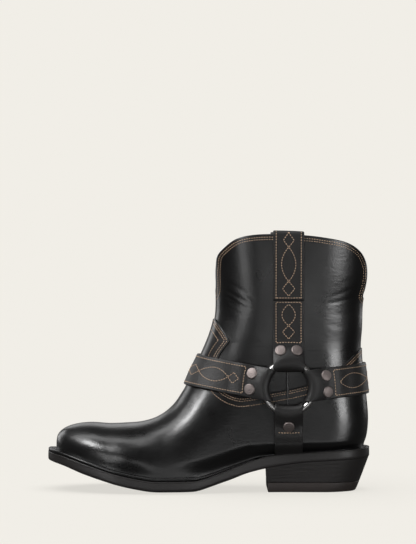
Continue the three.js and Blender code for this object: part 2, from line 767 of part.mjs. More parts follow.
// The folded end of a strap: a ribbon that lies on the boot, runs round the ring's bar and back.
// angle is the direction from the ring's middle to the strap, in the side view.
function foldedEnd({ side, strap, width, form }) {
  const angle = strapAngles[strap];
  const inner = loopInner[strap];
  const under = loopUnder;
  const tail = bandStart + bandLap;
  const out = new THREE.Vector2(Math.cos(angle), Math.sin(angle));
  const across = new THREE.Vector2(-out.y, out.x);
  const steps = 4;
  const bends = 6;
  const half = strapThickness / 2;
  const path = (b) => {
    const on = (r, layerLift) => {
      const x = ringX + out.x * r + across.x * b;
      const z = ringUp + out.y * r + across.y * b;
      return halfWidth(form, x, z, side) + foldFit + layerLift;
    };
    const bar = Math.sqrt(ringRadius ** 2 - b ** 2);
    const closest = ((ringBar / 2 + gap) * ringRadius) / bar + half;
    const reach = Math.max(closest, bar - inner - half);
    const second = half + strapThickness;
    const ringY = ringAt(side, ringUp + out.y * bar + across.y * b);
    const points = [];
    points.push([under, on(under, half)]);
    const middle = (under + bar) / 2;
    points.push([middle, lerp(on(middle, half), ringY - loopRadius, 0.4)]);
    for (let k = 0; k <= bends; k += 1) {
      const turn = -Math.PI / 2 - (k / bends) * Math.PI;
      points.push([bar + reach * Math.cos(turn), ringY + loopRadius * Math.sin(turn)]);
    }
    const [near, next] = [bar + loopFall, bar + 2 * loopFall];
    points.push([near, lerp(on(near, second), ringY + loopRadius, 0.8)]);
    points.push([next, lerp(on(next, second), ringY + loopRadius, 0.2)]);
    points.push([under + loopStep, on(under + loopStep, second)]);
    points.push([under + bandLap, on(under + bandLap, half)]);
    points.push([tail, on(tail, half)]);
    return points;
  };
  const positions = [];
  const triangles = [];
  let count = 0;
  for (let s = 0; s <= steps; s += 1) {
    const b = lerp(-width / 2, width / 2, s / steps);
    const middle = path(b);
    count = middle.length;
    const addPoint = ([r, y]) => {
      positions.push(ringX + out.x * r + across.x * b, side * y, ringUp + out.y * r + across.y * b);
    };
    const offset = (sign) => middle.forEach((point, i) => {
      const before = middle[Math.max(0, i - 1)];
      const after = middle[Math.min(count - 1, i + 1)];
      const run = new THREE.Vector2(after[0] - before[0], after[1] - before[1]).normalize();
      addPoint([point[0] - run.y * sign * half, point[1] + run.x * sign * half]);
    });
    offset(1);
    offset(-1);
  }
  const stride = 2 * count;
  const at = (s, face, i) => s * stride + face * count + i;
  const quad = (a, b, c, d) => triangles.push(a, b, c, a, c, d);
  for (let s = 0; s < steps; s += 1) {
    for (let i = 0; i < count - 1; i += 1) {
      quad(at(s, 0, i), at(s + 1, 0, i), at(s + 1, 0, i + 1), at(s, 0, i + 1));
      quad(at(s, 1, i), at(s, 1, i + 1), at(s + 1, 1, i + 1), at(s + 1, 1, i));
    }
    quad(at(s, 0, 0), at(s, 1, 0), at(s + 1, 1, 0), at(s + 1, 0, 0));
    const e = count - 1;
    quad(at(s, 0, e), at(s + 1, 0, e), at(s + 1, 1, e), at(s, 1, e));
  }
  for (const s of [0, steps]) {
    for (let i = 0; i < count - 1; i += 1) {
      const face = [at(s, 0, i), at(s, 0, i + 1), at(s, 1, i + 1), at(s, 1, i)];
      if (s) face.reverse();
      quad(...face);
    }
  }
  return closedSolid(positions, triangles).intersect(foldRoom(angle));
}

// Parallelogram in side view from distance r0 to r1 along a direction from the ring.
function bandOutline(angle, width, r0, r1) {
  const out = { x: Math.cos(angle), z: Math.sin(angle) };
  const corner = (r, b) => ({ x: ringX + out.x * r - out.z * b, z: ringUp + out.z * r + out.x * b });
  return [corner(r0, -width / 2), corner(r1, -width / 2), corner(r1, width / 2), corner(r0, width / 2)];
}

function horizontalStrap(name, width) {
  const angle = strapAngles[name];
  const outline = bandOutline(angle, width, bandStart, cutReach);
  const band = layer(strapLift, strapThickness).intersect(prism(outline));
  let strap = band;
  for (const side of [-1, 1]) {
    strap = strap.add(foldedEnd({ side, strap: name, width, form: strapForms.raised }));
  }
  return strap;
}

function sideHalf(side) {
  const reach = 2 * cutReach;
  const block = new THREE.BoxGeometry(2 * reach, reach, 2 * reach);
  block.translate(0, (side * reach) / 2 + side * 2, 0);
  return geometrySolid(block);
}

function verticalBand(lift, x, width, low, high, side) {
  const corners = [
    { x: x - width / 2, z: low },
    { x: x + width / 2, z: low },
    { x: x + width / 2, z: high },
    { x: x - width / 2, z: high },
  ];
  return layer(lift, strapThickness).intersect(prism(corners)).intersect(sideHalf(side));
}

function hangerStrap(side) {
  const band = verticalBand(gap, ringX, verticalStrapWidth, ringUp + bandStart, strapSeamUp, side);
  const end = { side, strap: 'hanger', width: verticalStrapWidth, form: strapForms.plain };
  return band.add(foldedEnd(end));
}

function lowerStrap(side) {
  const low = feather(ringX) + gap;
  const band = verticalBand(strapLift, ringX, lowerStrapWidth, low, ringUp - bandStart, side);
  const end = { side, strap: 'lower', width: lowerStrapWidth, form: strapForms.raised };
  return band.add(foldedEnd(end));
}

// The pull strap lies on the shaft, folds over the collar and comes down a little inside.
function pullStrap(side) {
  const corners = (low, high) => [
    { x: ringX - verticalStrapWidth / 2, z: low },
    { x: ringX + verticalStrapWidth / 2, z: low },
    { x: ringX + verticalStrapWidth / 2, z: high },
    { x: ringX - verticalStrapWidth / 2, z: high },
  ];
  const top = bootHeight + pullStrapRise;
  const inside = strapSeamUp + liningEnd;
  const edge = bootHeight - collarTuck;
  const outer = layer(gap, strapThickness).intersect(prism(corners(strapSeamUp + gap, top)));
  const liningInset = wall + gap + foldFit;
  const innerOver = formSolid(upperForm({ inset: liningInset, drop: innerRoom, rise: innerRoom }), coarse);
  const under = { inset: liningInset + strapThickness, drop: liningRoom, rise: liningRoom };
  const innerUnder = formSolid(upperForm(under), coarse);
  const lining = innerOver.subtract(innerUnder).intersect(prism(corners(inside, top)));
  const bridgeOver = formSolid(upperForm({ inset: -gap - strapThickness, rise: capRise }), fine);
  const bridge = bridgeOver.subtract(innerUnder).intersect(prism(corners(edge, top)));
  return outer.add(lining).add(bridge).intersect(sideHalf(side));
}

function ringGeometry(side) {
  const ring = new THREE.TorusGeometry(ringRadius, ringBar / 2, 8, 24);
  ring.rotateX(Math.PI / 2 - side * Math.atan(ringPlanes[side].lean));
  ring.translate(ringX, side * ringPlanes[side].out, ringUp);
  return ring;
}

// Rivets in side view, from the ring's middle: along the strap's direction and across it.
const rivetPlaces = [
  { name: 'hanger_front', strap: 'hanger', out: hangerRivetOut, across: rivetSpacing / 2 },
  { name: 'hanger_rear', strap: 'hanger', out: hangerRivetOut, across: -rivetSpacing / 2 },
  { name: 'front_upper', strap: 'front', out: rivetOut, across: -rivetSpacing / 2 },
  { name: 'front_lower', strap: 'front', out: rivetOut, across: rivetSpacing / 2 },
  { name: 'rear_upper', strap: 'rear', out: rivetOut, across: rivetSpacing / 2 },
  { name: 'rear_lower', strap: 'rear', out: rivetOut, across: -rivetSpacing / 2 },
  { name: 'lower', strap: 'lower', out: rivetOut, across: 0 },
];

// A flat-backed dome, its axis along +Z.
function rivetHead() {
  const profile = [
    new THREE.Vector2(0, 0),
    new THREE.Vector2(rivetRadius, 0),
    new THREE.Vector2(rivetRadius, rivetDome * 0.35),
    new THREE.Vector2(rivetRadius * 0.8, rivetDome * 0.8),
    new THREE.Vector2(0, rivetDome),
  ];
  const head = new THREE.LatheGeometry(profile, 10);
  head.rotateX(Math.PI / 2);
  return head;
}

// Where a rivet's back sits on the outside of a strap: tilted with it and a gap clear of it.
function rivetSeat(strap, x, z, side) {
  const far = cutReach;
  const towards = new THREE.Vector3(0, -side, 0);
  const caster = new THREE.Raycaster();
  const touch = (dx, dz) => {
    caster.set(new THREE.Vector3(x + dx, side * far, z + dz), towards);
    return caster.intersectObject(strap)[0].point;
  };
  const rim = [];
  for (let k = 0; k < 12; k += 1) {
    const angle = (k * Math.PI) / 6;
    rim.push(touch(rivetRadius * 0.95 * Math.cos(angle), rivetRadius * 0.95 * Math.sin(angle)));
  }
  const alongX = new THREE.Vector3().subVectors(rim[0], rim[6]);
  const alongZ = new THREE.Vector3().subVectors(rim[3], rim[9]);
  const normal = new THREE.Vector3().crossVectors(alongX, alongZ).normalize();
  if (normal.y * side < 0) normal.negate();
  const centre = touch(0, 0);
  const heights = [...rim, centre].map((point) => point.clone().sub(centre).dot(normal));
  centre.addScaledVector(normal, Math.max(...heights) + gap);
  return { centre, normal };
}

function rivetMesh(name, strap, spot, side) {
  const angle = strapAngles[spot.strap];
  const x = ringX + spot.out * Math.cos(angle) - spot.across * Math.sin(angle);
  const z = ringUp + spot.out * Math.sin(angle) + spot.across * Math.cos(angle);
  const seat = rivetSeat(strap, x, z, side);
  const mesh = meshFrom(name, rivetHead(), colours.steel);
  mesh.position.copy(seat.centre);
  mesh.quaternion.setFromUnitVectors(new THREE.Vector3(0, 0, 1), seat.normal);
  return mesh;
}

function meshFrom(name, geometry, finish) {
  const mesh = new THREE.Mesh(geometry, new THREE.MeshStandardMaterial(finish));
  mesh.name = name;
  return mesh;
}

function solidMesh(name, solid, finish) {
  const { vertProperties, triVerts } = solid.getMesh();
  const geometry = new THREE.BufferGeometry();
  geometry.setAttribute('position', new THREE.BufferAttribute(new Float32Array(vertProperties), 3));
  geometry.setIndex(new THREE.BufferAttribute(new Uint32Array(triVerts), 1));
  geometry.computeVertexNormals();
  return meshFrom(name, geometry, finish);
}

const boot = new THREE.Group();
boot.add(solidMesh('outsole', outsoleSolid(), colours.sole));
boot.add(solidMesh('welt', weltSolid(), colours.sole));
boot.add(solidMesh('heel_stack', heelStackSolid(), colours.sole));
boot.add(solidMesh('top_lift', topLiftSolid(), colours.lift));
boot.add(solidMesh('insole', insoleSolid(), colours.insole));
boot.add(solidMesh('upper', upperSolid(), colours.leather));
const frontBody = horizontalStrap('front', frontStrapWidth);
const frontStrap = solidMesh('front_strap', frontBody, colours.strap);
const rearStrap = solidMesh('rear_strap', horizontalStrap('rear', rearStrapWidth), colours.strap);
boot.add(frontStrap, rearStrap);
for (const [sideName, side] of [['lateral', -1], ['medial', 1]]) {
  const hanger = solidMesh(`hanger_strap_${sideName}`, hangerStrap(side), colours.strap);
  const lower = solidMesh(`lower_strap_${sideName}`, lowerStrap(side), colours.strap);
  const straps = { front: frontStrap, rear: rearStrap, hanger, lower };
  boot.add(solidMesh(`pull_strap_${sideName}`, pullStrap(side), colours.strap), hanger, lower);
  boot.add(meshFrom(`ring_${sideName}`, ringGeometry(side), colours.steel));
  for (const rivet of rivetPlaces) {
    boot.add(rivetMesh(`rivet_${rivet.name}_${sideName}`, straps[rivet.strap], rivet, side));
  }
}
const box = new THREE.Box3().setFromObject(boot);
boot.position.y = -(box.min.y + box.max.y) / 2;

export default boot;
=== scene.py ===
"""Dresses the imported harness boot: leather panels, folded straps, rings, rivets, stitches and sole."""
import math

import bpy
import numpy as np
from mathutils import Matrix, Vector


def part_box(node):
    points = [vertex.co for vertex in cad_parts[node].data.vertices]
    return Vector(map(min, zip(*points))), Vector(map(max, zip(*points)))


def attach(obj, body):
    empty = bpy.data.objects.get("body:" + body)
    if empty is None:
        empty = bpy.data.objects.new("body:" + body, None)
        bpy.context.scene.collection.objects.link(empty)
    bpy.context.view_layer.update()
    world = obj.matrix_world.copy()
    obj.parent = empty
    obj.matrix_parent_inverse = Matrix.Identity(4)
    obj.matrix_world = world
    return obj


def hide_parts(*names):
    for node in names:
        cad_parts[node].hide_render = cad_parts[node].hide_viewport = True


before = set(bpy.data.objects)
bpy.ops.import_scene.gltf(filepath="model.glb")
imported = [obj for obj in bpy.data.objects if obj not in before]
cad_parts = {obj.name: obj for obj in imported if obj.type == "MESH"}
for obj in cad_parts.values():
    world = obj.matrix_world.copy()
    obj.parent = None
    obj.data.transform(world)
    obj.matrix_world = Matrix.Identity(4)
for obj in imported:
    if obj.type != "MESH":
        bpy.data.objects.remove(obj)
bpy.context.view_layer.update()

MM = 0.001
SIDES = ((-1, "lateral"), (1, "medial"))

# Sizes in millimetres
SOLE_LENGTH = 285.0
BALL_WIDTH = 89.0
ANKLE_HEIGHT = 130.0
BOOT_HEIGHT = 226.0
ANKLE_WIDTH = 67.0
SHAFT_WIDTH = 80.0
TOE_SPRING = 26.5
HEEL_PITCH = 21.3
SOLE_THICKNESS = 8.5
CROWN = 3.0
CROWN_FADE = 35.0
WELT_THICKNESS = 2.8
WELT_END = 0.64
WELT_TAPER = 0.35
WELT_TAPER_RUN = 0.22
WELT_STEP = 0.05
TOE_MARGIN = 8.3
SIDE_MARGIN = 4.8
SEAT_MARGIN = 3.2
HEEL_BREAST = 0.679
HEEL_SLANT = 12.0
HEEL_TUCK = 3.6
TOP_LIFT = 8.5
WALL = 2.2
OVERLAY = 1.1
STRAP = 2.4
GAP = 0.3
FOLD_FIT = 0.5
RING_RADIUS = 21.95
RING_BAR = 5.1
RING_ALONG = 0.7444
RING_UP = 92.0
VERTICAL_WIDTH = 27.0
LOWER_WIDTH = 24.4
FRONT_WIDTH = 28.4
REAR_WIDTH = 27.2
STRAP_SEAM_UP = 167.5
RIVET_SPACING = 13.9
TOE_ROUND = 0.235
SEAT_ROUND = 0.115
SQUARENESS = 2.2
STITCH_PITCH = 2.4
STITCH_RADIUS = 0.34

# The upper: how its sections run into one another, its creases and rims, and the sole round it
TOE_FULLNESS = 1.03
TOE_BLEND = 2.5
FEATHER_SWELL = 16
TOE_ROUND_LIMIT = 0.9
SOFT_TURN = 0.3
SOFT_REACH = 0.09
SKIN_RISE = 2.0
CLOSEST_TURN = 0.0016
CREASE_FADE = 4
RIM_ROOM = 0.48
UPPER_RIM = 0.7
VAMP_RIM = 0.6
VAMP_ROOT = 0.3
UNDER_RIM = 0.6
SEAM_BACK = 0.9
SEAM_SUNK = 0.25
MARGIN_FROM = 0.55
MARGIN_RUN = 0.15
COAT_ROUGHNESS = 0.2

# Heel and insole
BREAST_SLANT = 0.8
TUCK_FADE = 8
HEEL_MIDDLE = 20
INSOLE_THICKNESS = 3.0

# Folds of the straps round the rings and over the collar
PULL_CLEAR = 0.2
PULL_TAIL = 18
PULL_BEND = 2.0
DOUBLED_TO = 40
DOUBLED_FADE = 12
FOLD_EASE = 0.9
FOLD_DROP = 16
BAND_START = 33
BAND_BLEND = 9

# Stitch rows, by their distance from an edge, a seam or the ring
EDGE_ROW = 2.6
ACROSS_ROW = 39.5
SEAM_ROW = 1.2
PULL_CROSS = 170.0
PULL_STITCHED = (STRAP_SEAM_UP + 1.4, BOOT_HEIGHT + 1)
MIDDLE_WIDE = 5.6
MIDDLE_OVAL = 16
SEAM_PITCH = 2.2
SEAM_RADIUS = 0.31
CENTRE_ROOM = 4.5
COLLAR_ROWS = (2.5, 4.5)
TOPLINE_ROWS = ((1.7, 1.53), (3.5, 3.15), (8.0, 7.4))

TOE_TIP = -SOLE_LENGTH / 2
HEEL_TIP = SOLE_LENGTH / 2


def table(names, rows):
    """Columns by name from a short table of rows."""
    return dict(zip(names.split(), np.array(rows, float).T))


SOLE_EDGE = table("along spring pitch thick", [
    (0.0, 1.0, 0.0, 0.88), (0.05, 0.87, 0.0, 0.93), (0.11, 0.66, 0.0, 0.98), (0.165, 0.47, 0.0, 1.0),
    (0.22, 0.3, 0.0, 1.0), (0.28, 0.165, 0.0, 1.0), (0.33, 0.09, 0.0, 1.0), (0.38, 0.07, 0.02, 1.0),
    (0.45, 0.05, 0.06, 0.98), (0.505, 0.0, 0.31, 0.92), (0.565, 0.0, 0.585, 0.98), (0.62, 0.0, 0.815, 1.1),
    (0.679, 0.0, 1.0, 1.22), (0.79, 0.0, 1.22, 1.02), (0.92, 0.0, 1.33, 1.0), (1.0, 0.0, 1.4, 1.0)])
PLAN = table("along lateral medial swing", [
    (0.0, 0.86, 0.86, 0.13), (0.12, 0.93, 0.92, 0.1), (0.24, 1.0, 1.0, 0.05), (0.33, 1.03, 0.98, 0.02),
    (0.42, 0.98, 0.85, 0.0), (0.52, 0.83, 0.66, 0.0), (0.62, 0.72, 0.61, 0.0), (0.75, 0.66, 0.65, 0.0),
    (0.88, 0.68, 0.68, 0.0), (1.0, 0.68, 0.68, 0.0)])
FRONT_LINE = table("along up", [
    (0.0292, 0.325), (0.034, 0.368), (0.0526, 0.407), (0.084, 0.433), (0.1316, 0.446), (0.193, 0.439),
    (0.249, 0.4446), (0.305, 0.46), (0.343, 0.488), (0.381, 0.546), (0.4207, 0.66), (0.451, 0.795),
    (0.481, 0.931), (0.5067, 1.094), (0.5195, 1.245), (0.522, 1.417), (0.518, 1.596), (0.503, 2.0)])
BACK_LINE = table("along up", [
    (0.979, 0.315), (0.9875, 0.37), (0.992, 0.443), (0.9925, 0.512), (0.989, 0.607), (0.981, 0.77),
    (0.9745, 0.908), (0.9744, 1.0), (0.978, 1.133), (0.981, 1.365), (0.99, 1.5), (0.9965, 1.594),
    (1.012, 2.0)])
SECTIONS = table("turn lateral medial top", [
    (0.0, 1.42, 1.36, 1.3), (0.25, 1.3, 1.24, 1.42), (0.5, 1.17, 1.12, 1.52), (0.7, 1.08, 1.05, 1.6),
    (0.85, 1.03, 1.02, 1.58), (1.0, 1.03, 1.03, 1.58)])
SHAFT_SECTIONS = table("turn side round", [
    (1.0, 0.863, 1.32), (1.25, 0.9, 1.36), (1.6, 0.96, 1.42), (2.0, 1.01, 1.45)])
BACK_ROUND = table("up round", [(0.25, 0.98), (0.6, 1.15), (1.0, 1.45), (1.5, 1.68), (2.0, 1.75)])
COLLAR_LINE = table("along up", [
    (0.5, 1.4), (0.517, 1.45), (0.5205, 1.68), (0.5265, 1.8), (0.548, 1.873), (0.583, 1.948),
    (0.633, 1.984), (0.745, 1.99), (0.847, 1.964), (0.93, 1.91), (0.968, 1.836), (0.985, 1.76),
    (0.992, 1.69), (0.993, 1.594), (0.988, 1.5), (0.981, 1.42), (1.0, 1.38)])
TOPLINE = table("along up", [
    (0.46, 1.217), (0.523, 1.217), (0.566, 1.024), (0.529, 0.89), (0.525, 0.745), (0.5526, 0.677),
    (0.592, 0.643), (0.627, 0.648), (0.712, 0.681), (0.769, 0.705), (0.83, 0.745), (0.91, 0.85),
    (0.975, 0.965), (1.05, 1.0)])


def clamp01(t):
    return np.clip(t, 0.0, 1.0)


def lerp(a, b, t):
    return a + (b - a) * t


def ease(t):
    return clamp01(t) ** 2 * (3 - 2 * clamp01(t))


def quarter(t):
    """A quarter of a rounded oval: 0 at the edge, 1 a whole rounding length inwards."""
    return (1 - (1 - clamp01(t)) ** SQUARENESS) ** (1 / SQUARENESS)


def unit(vectors):
    return vectors / np.maximum(np.linalg.norm(vectors, axis=-1, keepdims=True), 1e-12)


def column(xs, ys):
    """Smooth curve through one column of a table, without overshoot."""
    steps = np.diff(ys) / np.diff(xs)
    slopes = np.empty_like(xs)
    slopes[0], slopes[-1] = steps[0], steps[-1]
    product = steps[:-1] * steps[1:]
    total = np.where(np.abs(steps[:-1] + steps[1:]) < 1e-12, 1.0, steps[:-1] + steps[1:])
    slopes[1:-1] = np.where(product <= 0, 0.0, 2 * product / total)

    def curve(x):
        x = np.clip(np.asarray(x, float), xs[0], xs[-1])
        i = np.clip(np.searchsorted(xs, x, side="right") - 1, 0, len(xs) - 2)
        span = xs[i + 1] - xs[i]
        t = (x - xs[i]) / span
        start = ys[i] * (1 + 2 * t) * (1 - t) ** 2 + slopes[i] * span * t * (1 - t) ** 2
        return start + ys[i + 1] * t * t * (3 - 2 * t) + slopes[i + 1] * span * t * t * (t - 1)

    return curve


def curves(rows):
    """A smooth curve for each column after the first."""
    key, *names = rows
    return [column(rows[key], rows[name]) for name in names]


edge_spring, edge_pitch, edge_thick = curves(SOLE_EDGE)
plan_lateral, plan_medial, plan_swing = curves(PLAN)
section_lateral, section_medial, section_top = curves(SECTIONS)
shaft_side, shaft_round = curves(SHAFT_SECTIONS)
round_back, = curves(BACK_ROUND)


def place(along):
    return TOE_TIP + np.asarray(along) * SOLE_LENGTH


def height(up):
    up = np.asarray(up, float)
    return np.where(up <= 1, up * ANKLE_HEIGHT, ANKLE_HEIGHT + (up - 1) * (BOOT_HEIGHT - ANKLE_HEIGHT))


def share(x):
    return (np.asarray(x) - TOE_TIP) / SOLE_LENGTH


def sole_bottom(x):
    return edge_spring(share(x)) * TOE_SPRING + edge_pitch(share(x)) * HEEL_PITCH


def sole_top(x):
    return sole_bottom(x) + edge_thick(share(x)) * SOLE_THICKNESS


def welt_height(x):
    return WELT_THICKNESS * lerp(WELT_TAPER, 1.0, ease((WELT_END - share(x)) / WELT_TAPER_RUN))


def feather(x):
    on_welt = ease((WELT_END + WELT_STEP - share(x)) / WELT_STEP)
    return sole_top(x) + GAP + (welt_height(x) + GAP) * on_welt


def swing(x):
    return plan_swing(share(x)) * BALL_WIDTH / 2


TOE_WALL = float(place(FRONT_LINE["along"][0]))
SEAT_BACK = float(place(BACK_LINE["along"][0]))
PIVOT_X, PIVOT_Z = float(place(0.29)), ANKLE_HEIGHT


def plan_half(x, side):
    lateral = plan_lateral(share(x))
    return np.where(side < 0, lateral, plan_medial(share(x))) * BALL_WIDTH / 2


def sole_half(x, side, inset=0.0):
    """Half width of the sole's outline."""
    margin = lerp(SIDE_MARGIN, SEAT_MARGIN, ease((share(x) - MARGIN_FROM) / MARGIN_RUN)) - inset
    front = quarter((x - TOE_TIP - inset) / (TOE_ROUND * SOLE_LENGTH + TOE_MARGIN - inset))
    back = quarter((HEEL_TIP - inset - x) / (SEAT_ROUND * SOLE_LENGTH + SEAT_MARGIN - inset))
    return (plan_half(x, side) + margin) * front * back


def side_points(rows):
    """A table's side-view points, as (x, z) rows."""
    return np.stack([place(rows["along"]), height(rows["up"])], 1)


def smooth_line(rows, steps=24):
    """Centripetal curve through the side-view points of a table, as (x, z) rows."""
    points = side_points(rows)
    points = np.vstack([2 * points[0] - points[1], points, 2 * points[-1] - points[-2]])
    out = []
    for k in range(1, len(points) - 2):
        p = points[k - 1:k + 3]
        knots = np.concatenate([[0], np.cumsum(np.sqrt(np.linalg.norm(np.diff(p, axis=0), axis=1)))])
        t = np.linspace(knots[1], knots[2], steps, endpoint=False)[:, None]
        for first, reach, count in ((0, 1, 3), (0, 2, 2), (1, 1, 1)):
            at = [knots[first + i] for i in range(count + reach)]
            p = [((at[i + reach] - t) * p[i] + (t - at[i]) * p[i + 1]) / (at[i + reach] - at[i])
                 for i in range(count)]
        out.append(p[0])
    return np.vstack(out + [points[-2][None]])


FRONT_CURVE = smooth_line(FRONT_LINE)
BACK_CURVE = smooth_line(BACK_LINE)


def turn_of(x, z):
    """Where a side-view point lies in the fan of sections, from -1 at the toe to 2 at the collar."""
    x, z = np.asarray(x, float), np.asarray(z, float)
    fan = 1 - np.arctan2(PIVOT_Z - z, x - PIVOT_X) / (math.pi / 2)
    shaft = 1 + (z - PIVOT_Z) / (BOOT_HEIGHT - PIVOT_Z)
    return np.where(x <= PIVOT_X, (x - PIVOT_X) / (PIVOT_X - TOE_WALL), np.where(z >= PIVOT_Z, shaft, fan))


def offset_line(line, distance):
    """A side-view line moved to the right of its run, as seen with x right and z up."""
    run = unit(np.gradient(line, axis=0))
    return line + np.stack([run[:, 1], -run[:, 0]], 1) * distance


def extended(line, rise):
    """A line carried on upwards by a rise."""
    run = line[-1] - line[-9]
    return np.vstack([line, line[-1] + run * rise / run[1]])


class Form:
    """The upper's form, moved inwards by inset or outwards where that is negative, and carried
    on upwards by rise."""

    def __init__(self, inset=0.0, rise=0.0):
        self.inset = inset
        front, back = offset_line(FRONT_CURVE, inset), offset_line(BACK_CURVE, -inset)
        self.front_most, self.seat_x = front[0, 0], back[0, 0]
        xs = np.linspace(self.front_most, self.seat_x, 400)
        under = np.stack([xs, feather(xs)], 1)
        outline = np.vstack([under, back[back[:, 1] > feather(self.seat_x) + 0.5]])
        if rise:
            front, outline = extended(front, rise), extended(outline, rise)
        self.front, self.outline, self.back = front, outline, outline[len(under):]
        self.front_turn = np.maximum.accumulate(turn_of(*front.T))
        self.outline_turn = np.maximum.accumulate(turn_of(*outline.T))

    def front_at(self, turn):
        return [np.interp(turn, self.front_turn, self.front[:, k]) for k in (0, 1)]

    def back_at(self, turn):
        return [np.interp(turn, self.outline_turn, self.outline[:, k]) for k in (0, 1)]

    def section(self, turn, side):
        """Half width of the sections of the foot."""
        t = clamp01(turn)
        return np.where(side < 0, section_lateral(t), section_medial(t)) * ANKLE_WIDTH / 2

    def soft_side(self, turn, side):
        """Half width of the sections, with the change from foot to shaft softened."""
        total = 0.0
        steps = np.linspace(-SOFT_REACH, SOFT_REACH, 9)
        for step in steps:
            t = np.minimum(turn + step, 2)
            total = total + np.where(t <= 1, self.section(t, side), shaft_side(t) * SHAFT_WIDTH / 2)
        return total / len(steps) - self.inset

    def half_width(self, x, z, side):
        """Half width at a side-view point, towards one side (-1 lateral, 1 medial)."""
        x, z = np.asarray(x, float), np.asarray(z, float)
        turn = turn_of(x, z)
        top_x, top_z = self.front_at(turn)
        low_x, low_z = self.back_at(turn)
        edge = plan_half(low_x, side) - self.inset
        fan = self.section(turn, side) - self.inset
        toe = lerp(edge * TOE_FULLNESS, fan, ease(1 + turn * TOE_BLEND))
        full = lerp(toe, self.soft_side(turn, side), ease((turn - SOFT_TURN) / SOFT_TURN))
        on_sole = (low_x < self.seat_x - 0.01) & (low_z < feather(self.seat_x) + 0.01)
        swell = np.where(on_sole, ease(np.hypot(x - low_x, z - low_z) / FEATHER_SWELL), 1.0)
        across = lerp(edge, full, swell)
        length = np.hypot(top_x - low_x, top_z - low_z)
        half = ANKLE_WIDTH / 2
        on_foot, on_shaft = section_top(clamp01(turn)) * half, shaft_round(turn) * SHAFT_WIDTH / 2
        rounding = np.where(turn <= 1, on_foot, on_shaft)
        low = np.minimum(rounding, TOE_ROUND_LIMIT * length)
        rounding = lerp(low, rounding, ease(turn / SOFT_TURN))
        to_toe = quarter((x - self.front_most) / (TOE_ROUND * SOLE_LENGTH))
        over_ankle = (z - ANKLE_HEIGHT) / (BOOT_HEIGHT - ANKLE_HEIGHT)
        up = np.where(z <= ANKLE_HEIGHT, z / ANKLE_HEIGHT, 1 + over_ankle)
        heel = round_back(up) * half - self.inset
        back_x = np.interp(z, self.back[:, 1], self.back[:, 0])
        to_back = quarter((back_x - x) / heel)
        to_top = quarter(np.hypot(x - top_x, z - top_z) / (rounding - self.inset))
        return np.maximum(0, across) * to_toe * to_back * to_top


BASE = Form()
RAISED = Form(-OVERLAY - GAP)
PLAIN = Form(-GAP)

middle_x = np.linspace(-100, 20, 300)
model_low = np.min(swing(middle_x) - sole_half(middle_x, -1))
model_high = np.max(swing(middle_x) + sole_half(middle_x, 1))
sole_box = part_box("outsole")
SHIFT_Y = (sole_box[0][1] + sole_box[1][1]) / 2 / MM - (model_low + model_high) / 2

# Meshes


def linked(name, data):
    """A new object in the scene."""
    thing = bpy.data.objects.new(name, data)
    bpy.context.scene.collection.objects.link(thing)
    return thing


def add_mesh(name, points, faces, material, slot, replaced=(), sharp=None):
    """A piece from points in millimetres and faces, riding on the boot."""
    mesh = bpy.data.meshes.new(name)
    placed = (np.asarray(points, float) + [0, SHIFT_Y, 0]) * MM
    mesh.from_pydata(placed.tolist(), [], [tuple(int(i) for i in face) for face in faces])
    mesh.validate()
    mesh.update()
    mesh.polygons.foreach_set("use_smooth", [True] * len(mesh.polygons))
    if sharp:
        mesh.set_sharp_from_angle(angle=math.radians(sharp))
    mesh.materials.append(material)
    piece = linked(name, mesh)
    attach(piece, "root")
    if replaced:
        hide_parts(*replaced)


def weld(points, faces):
    """Merges doubled points and drops faces that fall flat."""
    _, first, index = np.unique(np.round(points, 4), axis=0, return_index=True, return_inverse=True)
    index = index.ravel()
    loops = [tuple(dict.fromkeys(index[i] for i in face)) for face in faces]
    return points[first], [loop for loop in loops if len(loop) > 2]


def grid_faces(rows, columns, closed=False):
    """Quads of a grid of points, row by row. closed joins the last column to the first."""
    last = columns if closed else columns - 1
    return [(i * columns + j, i * columns + (j + 1) % columns, (i + 1) * columns + (j + 1) % columns,
             (i + 1) * columns + j) for i in range(rows - 1) for j in range(last)]


def tube_faces(rows, columns):
    """Quads of a closed tube of points, row by row, and its two ends."""
    last = (rows - 1) * columns
    return grid_faces(rows, columns, closed=True) + [tuple(range(columns))[::-1],
                                                     tuple(range(last, last + columns))]


def normals_of(points, faces):
    """Outward normals at the points of a mesh."""
    total = np.zeros_like(points)
    by_size = {}
    for face in faces:
        by_size.setdefault(len(face), []).append(face)
    for size, group in by_size.items():
        index = np.array(group)
        corners = points[index]
        spokes = corners[:, 1:] - corners[:, :1]
        normal = np.cross(spokes[:, :-1], spokes[:, 1:]).sum(axis=1)
        for k in range(size):
            np.add.at(total, index[:, k], normal)
    return unit(total)


def clip(points, faces, field):
    """Keeps the part of a mesh where the field is positive, cut along its zero line."""
    values = field(points)
    values[np.abs(values) < 1e-6] = 1e-6
    inside = values > 0
    points, values = list(points), list(values)
    cuts, kept = {}, []
    for face in faces:
        states = [inside[i] for i in face]
        if all(states):
            kept.append(face)
            continue
        if not any(states):
            continue
        loop = []
        for a, b in zip(face, face[1:] + face[:1]):
            if inside[a]:
                loop.append(a)
            if inside[a] != inside[b]:
                key = (min(a, b), max(a, b))
                if key not in cuts:
                    t = values[a] / (values[a] - values[b])
                    cuts[key] = len(points)
                    points.append(points[a] + (points[b] - points[a]) * t)
                loop.append(cuts[key])
        if len(loop) > 2:
            kept.append(tuple(loop))
    used = sorted({i for face in kept for i in face})
    renumber = {old: new for new, old in enumerate(used)}
    return np.array([points[i] for i in used]), [tuple(renumber[i] for i in face) for face in kept]


def border(faces):
    """Directed edges that only one face has."""
    edges = dict.fromkeys((a, b) for face in faces for a, b in zip(face, face[1:] + face[:1]))
    return [(a, b) for a, b in edges if (b, a) not in edges]


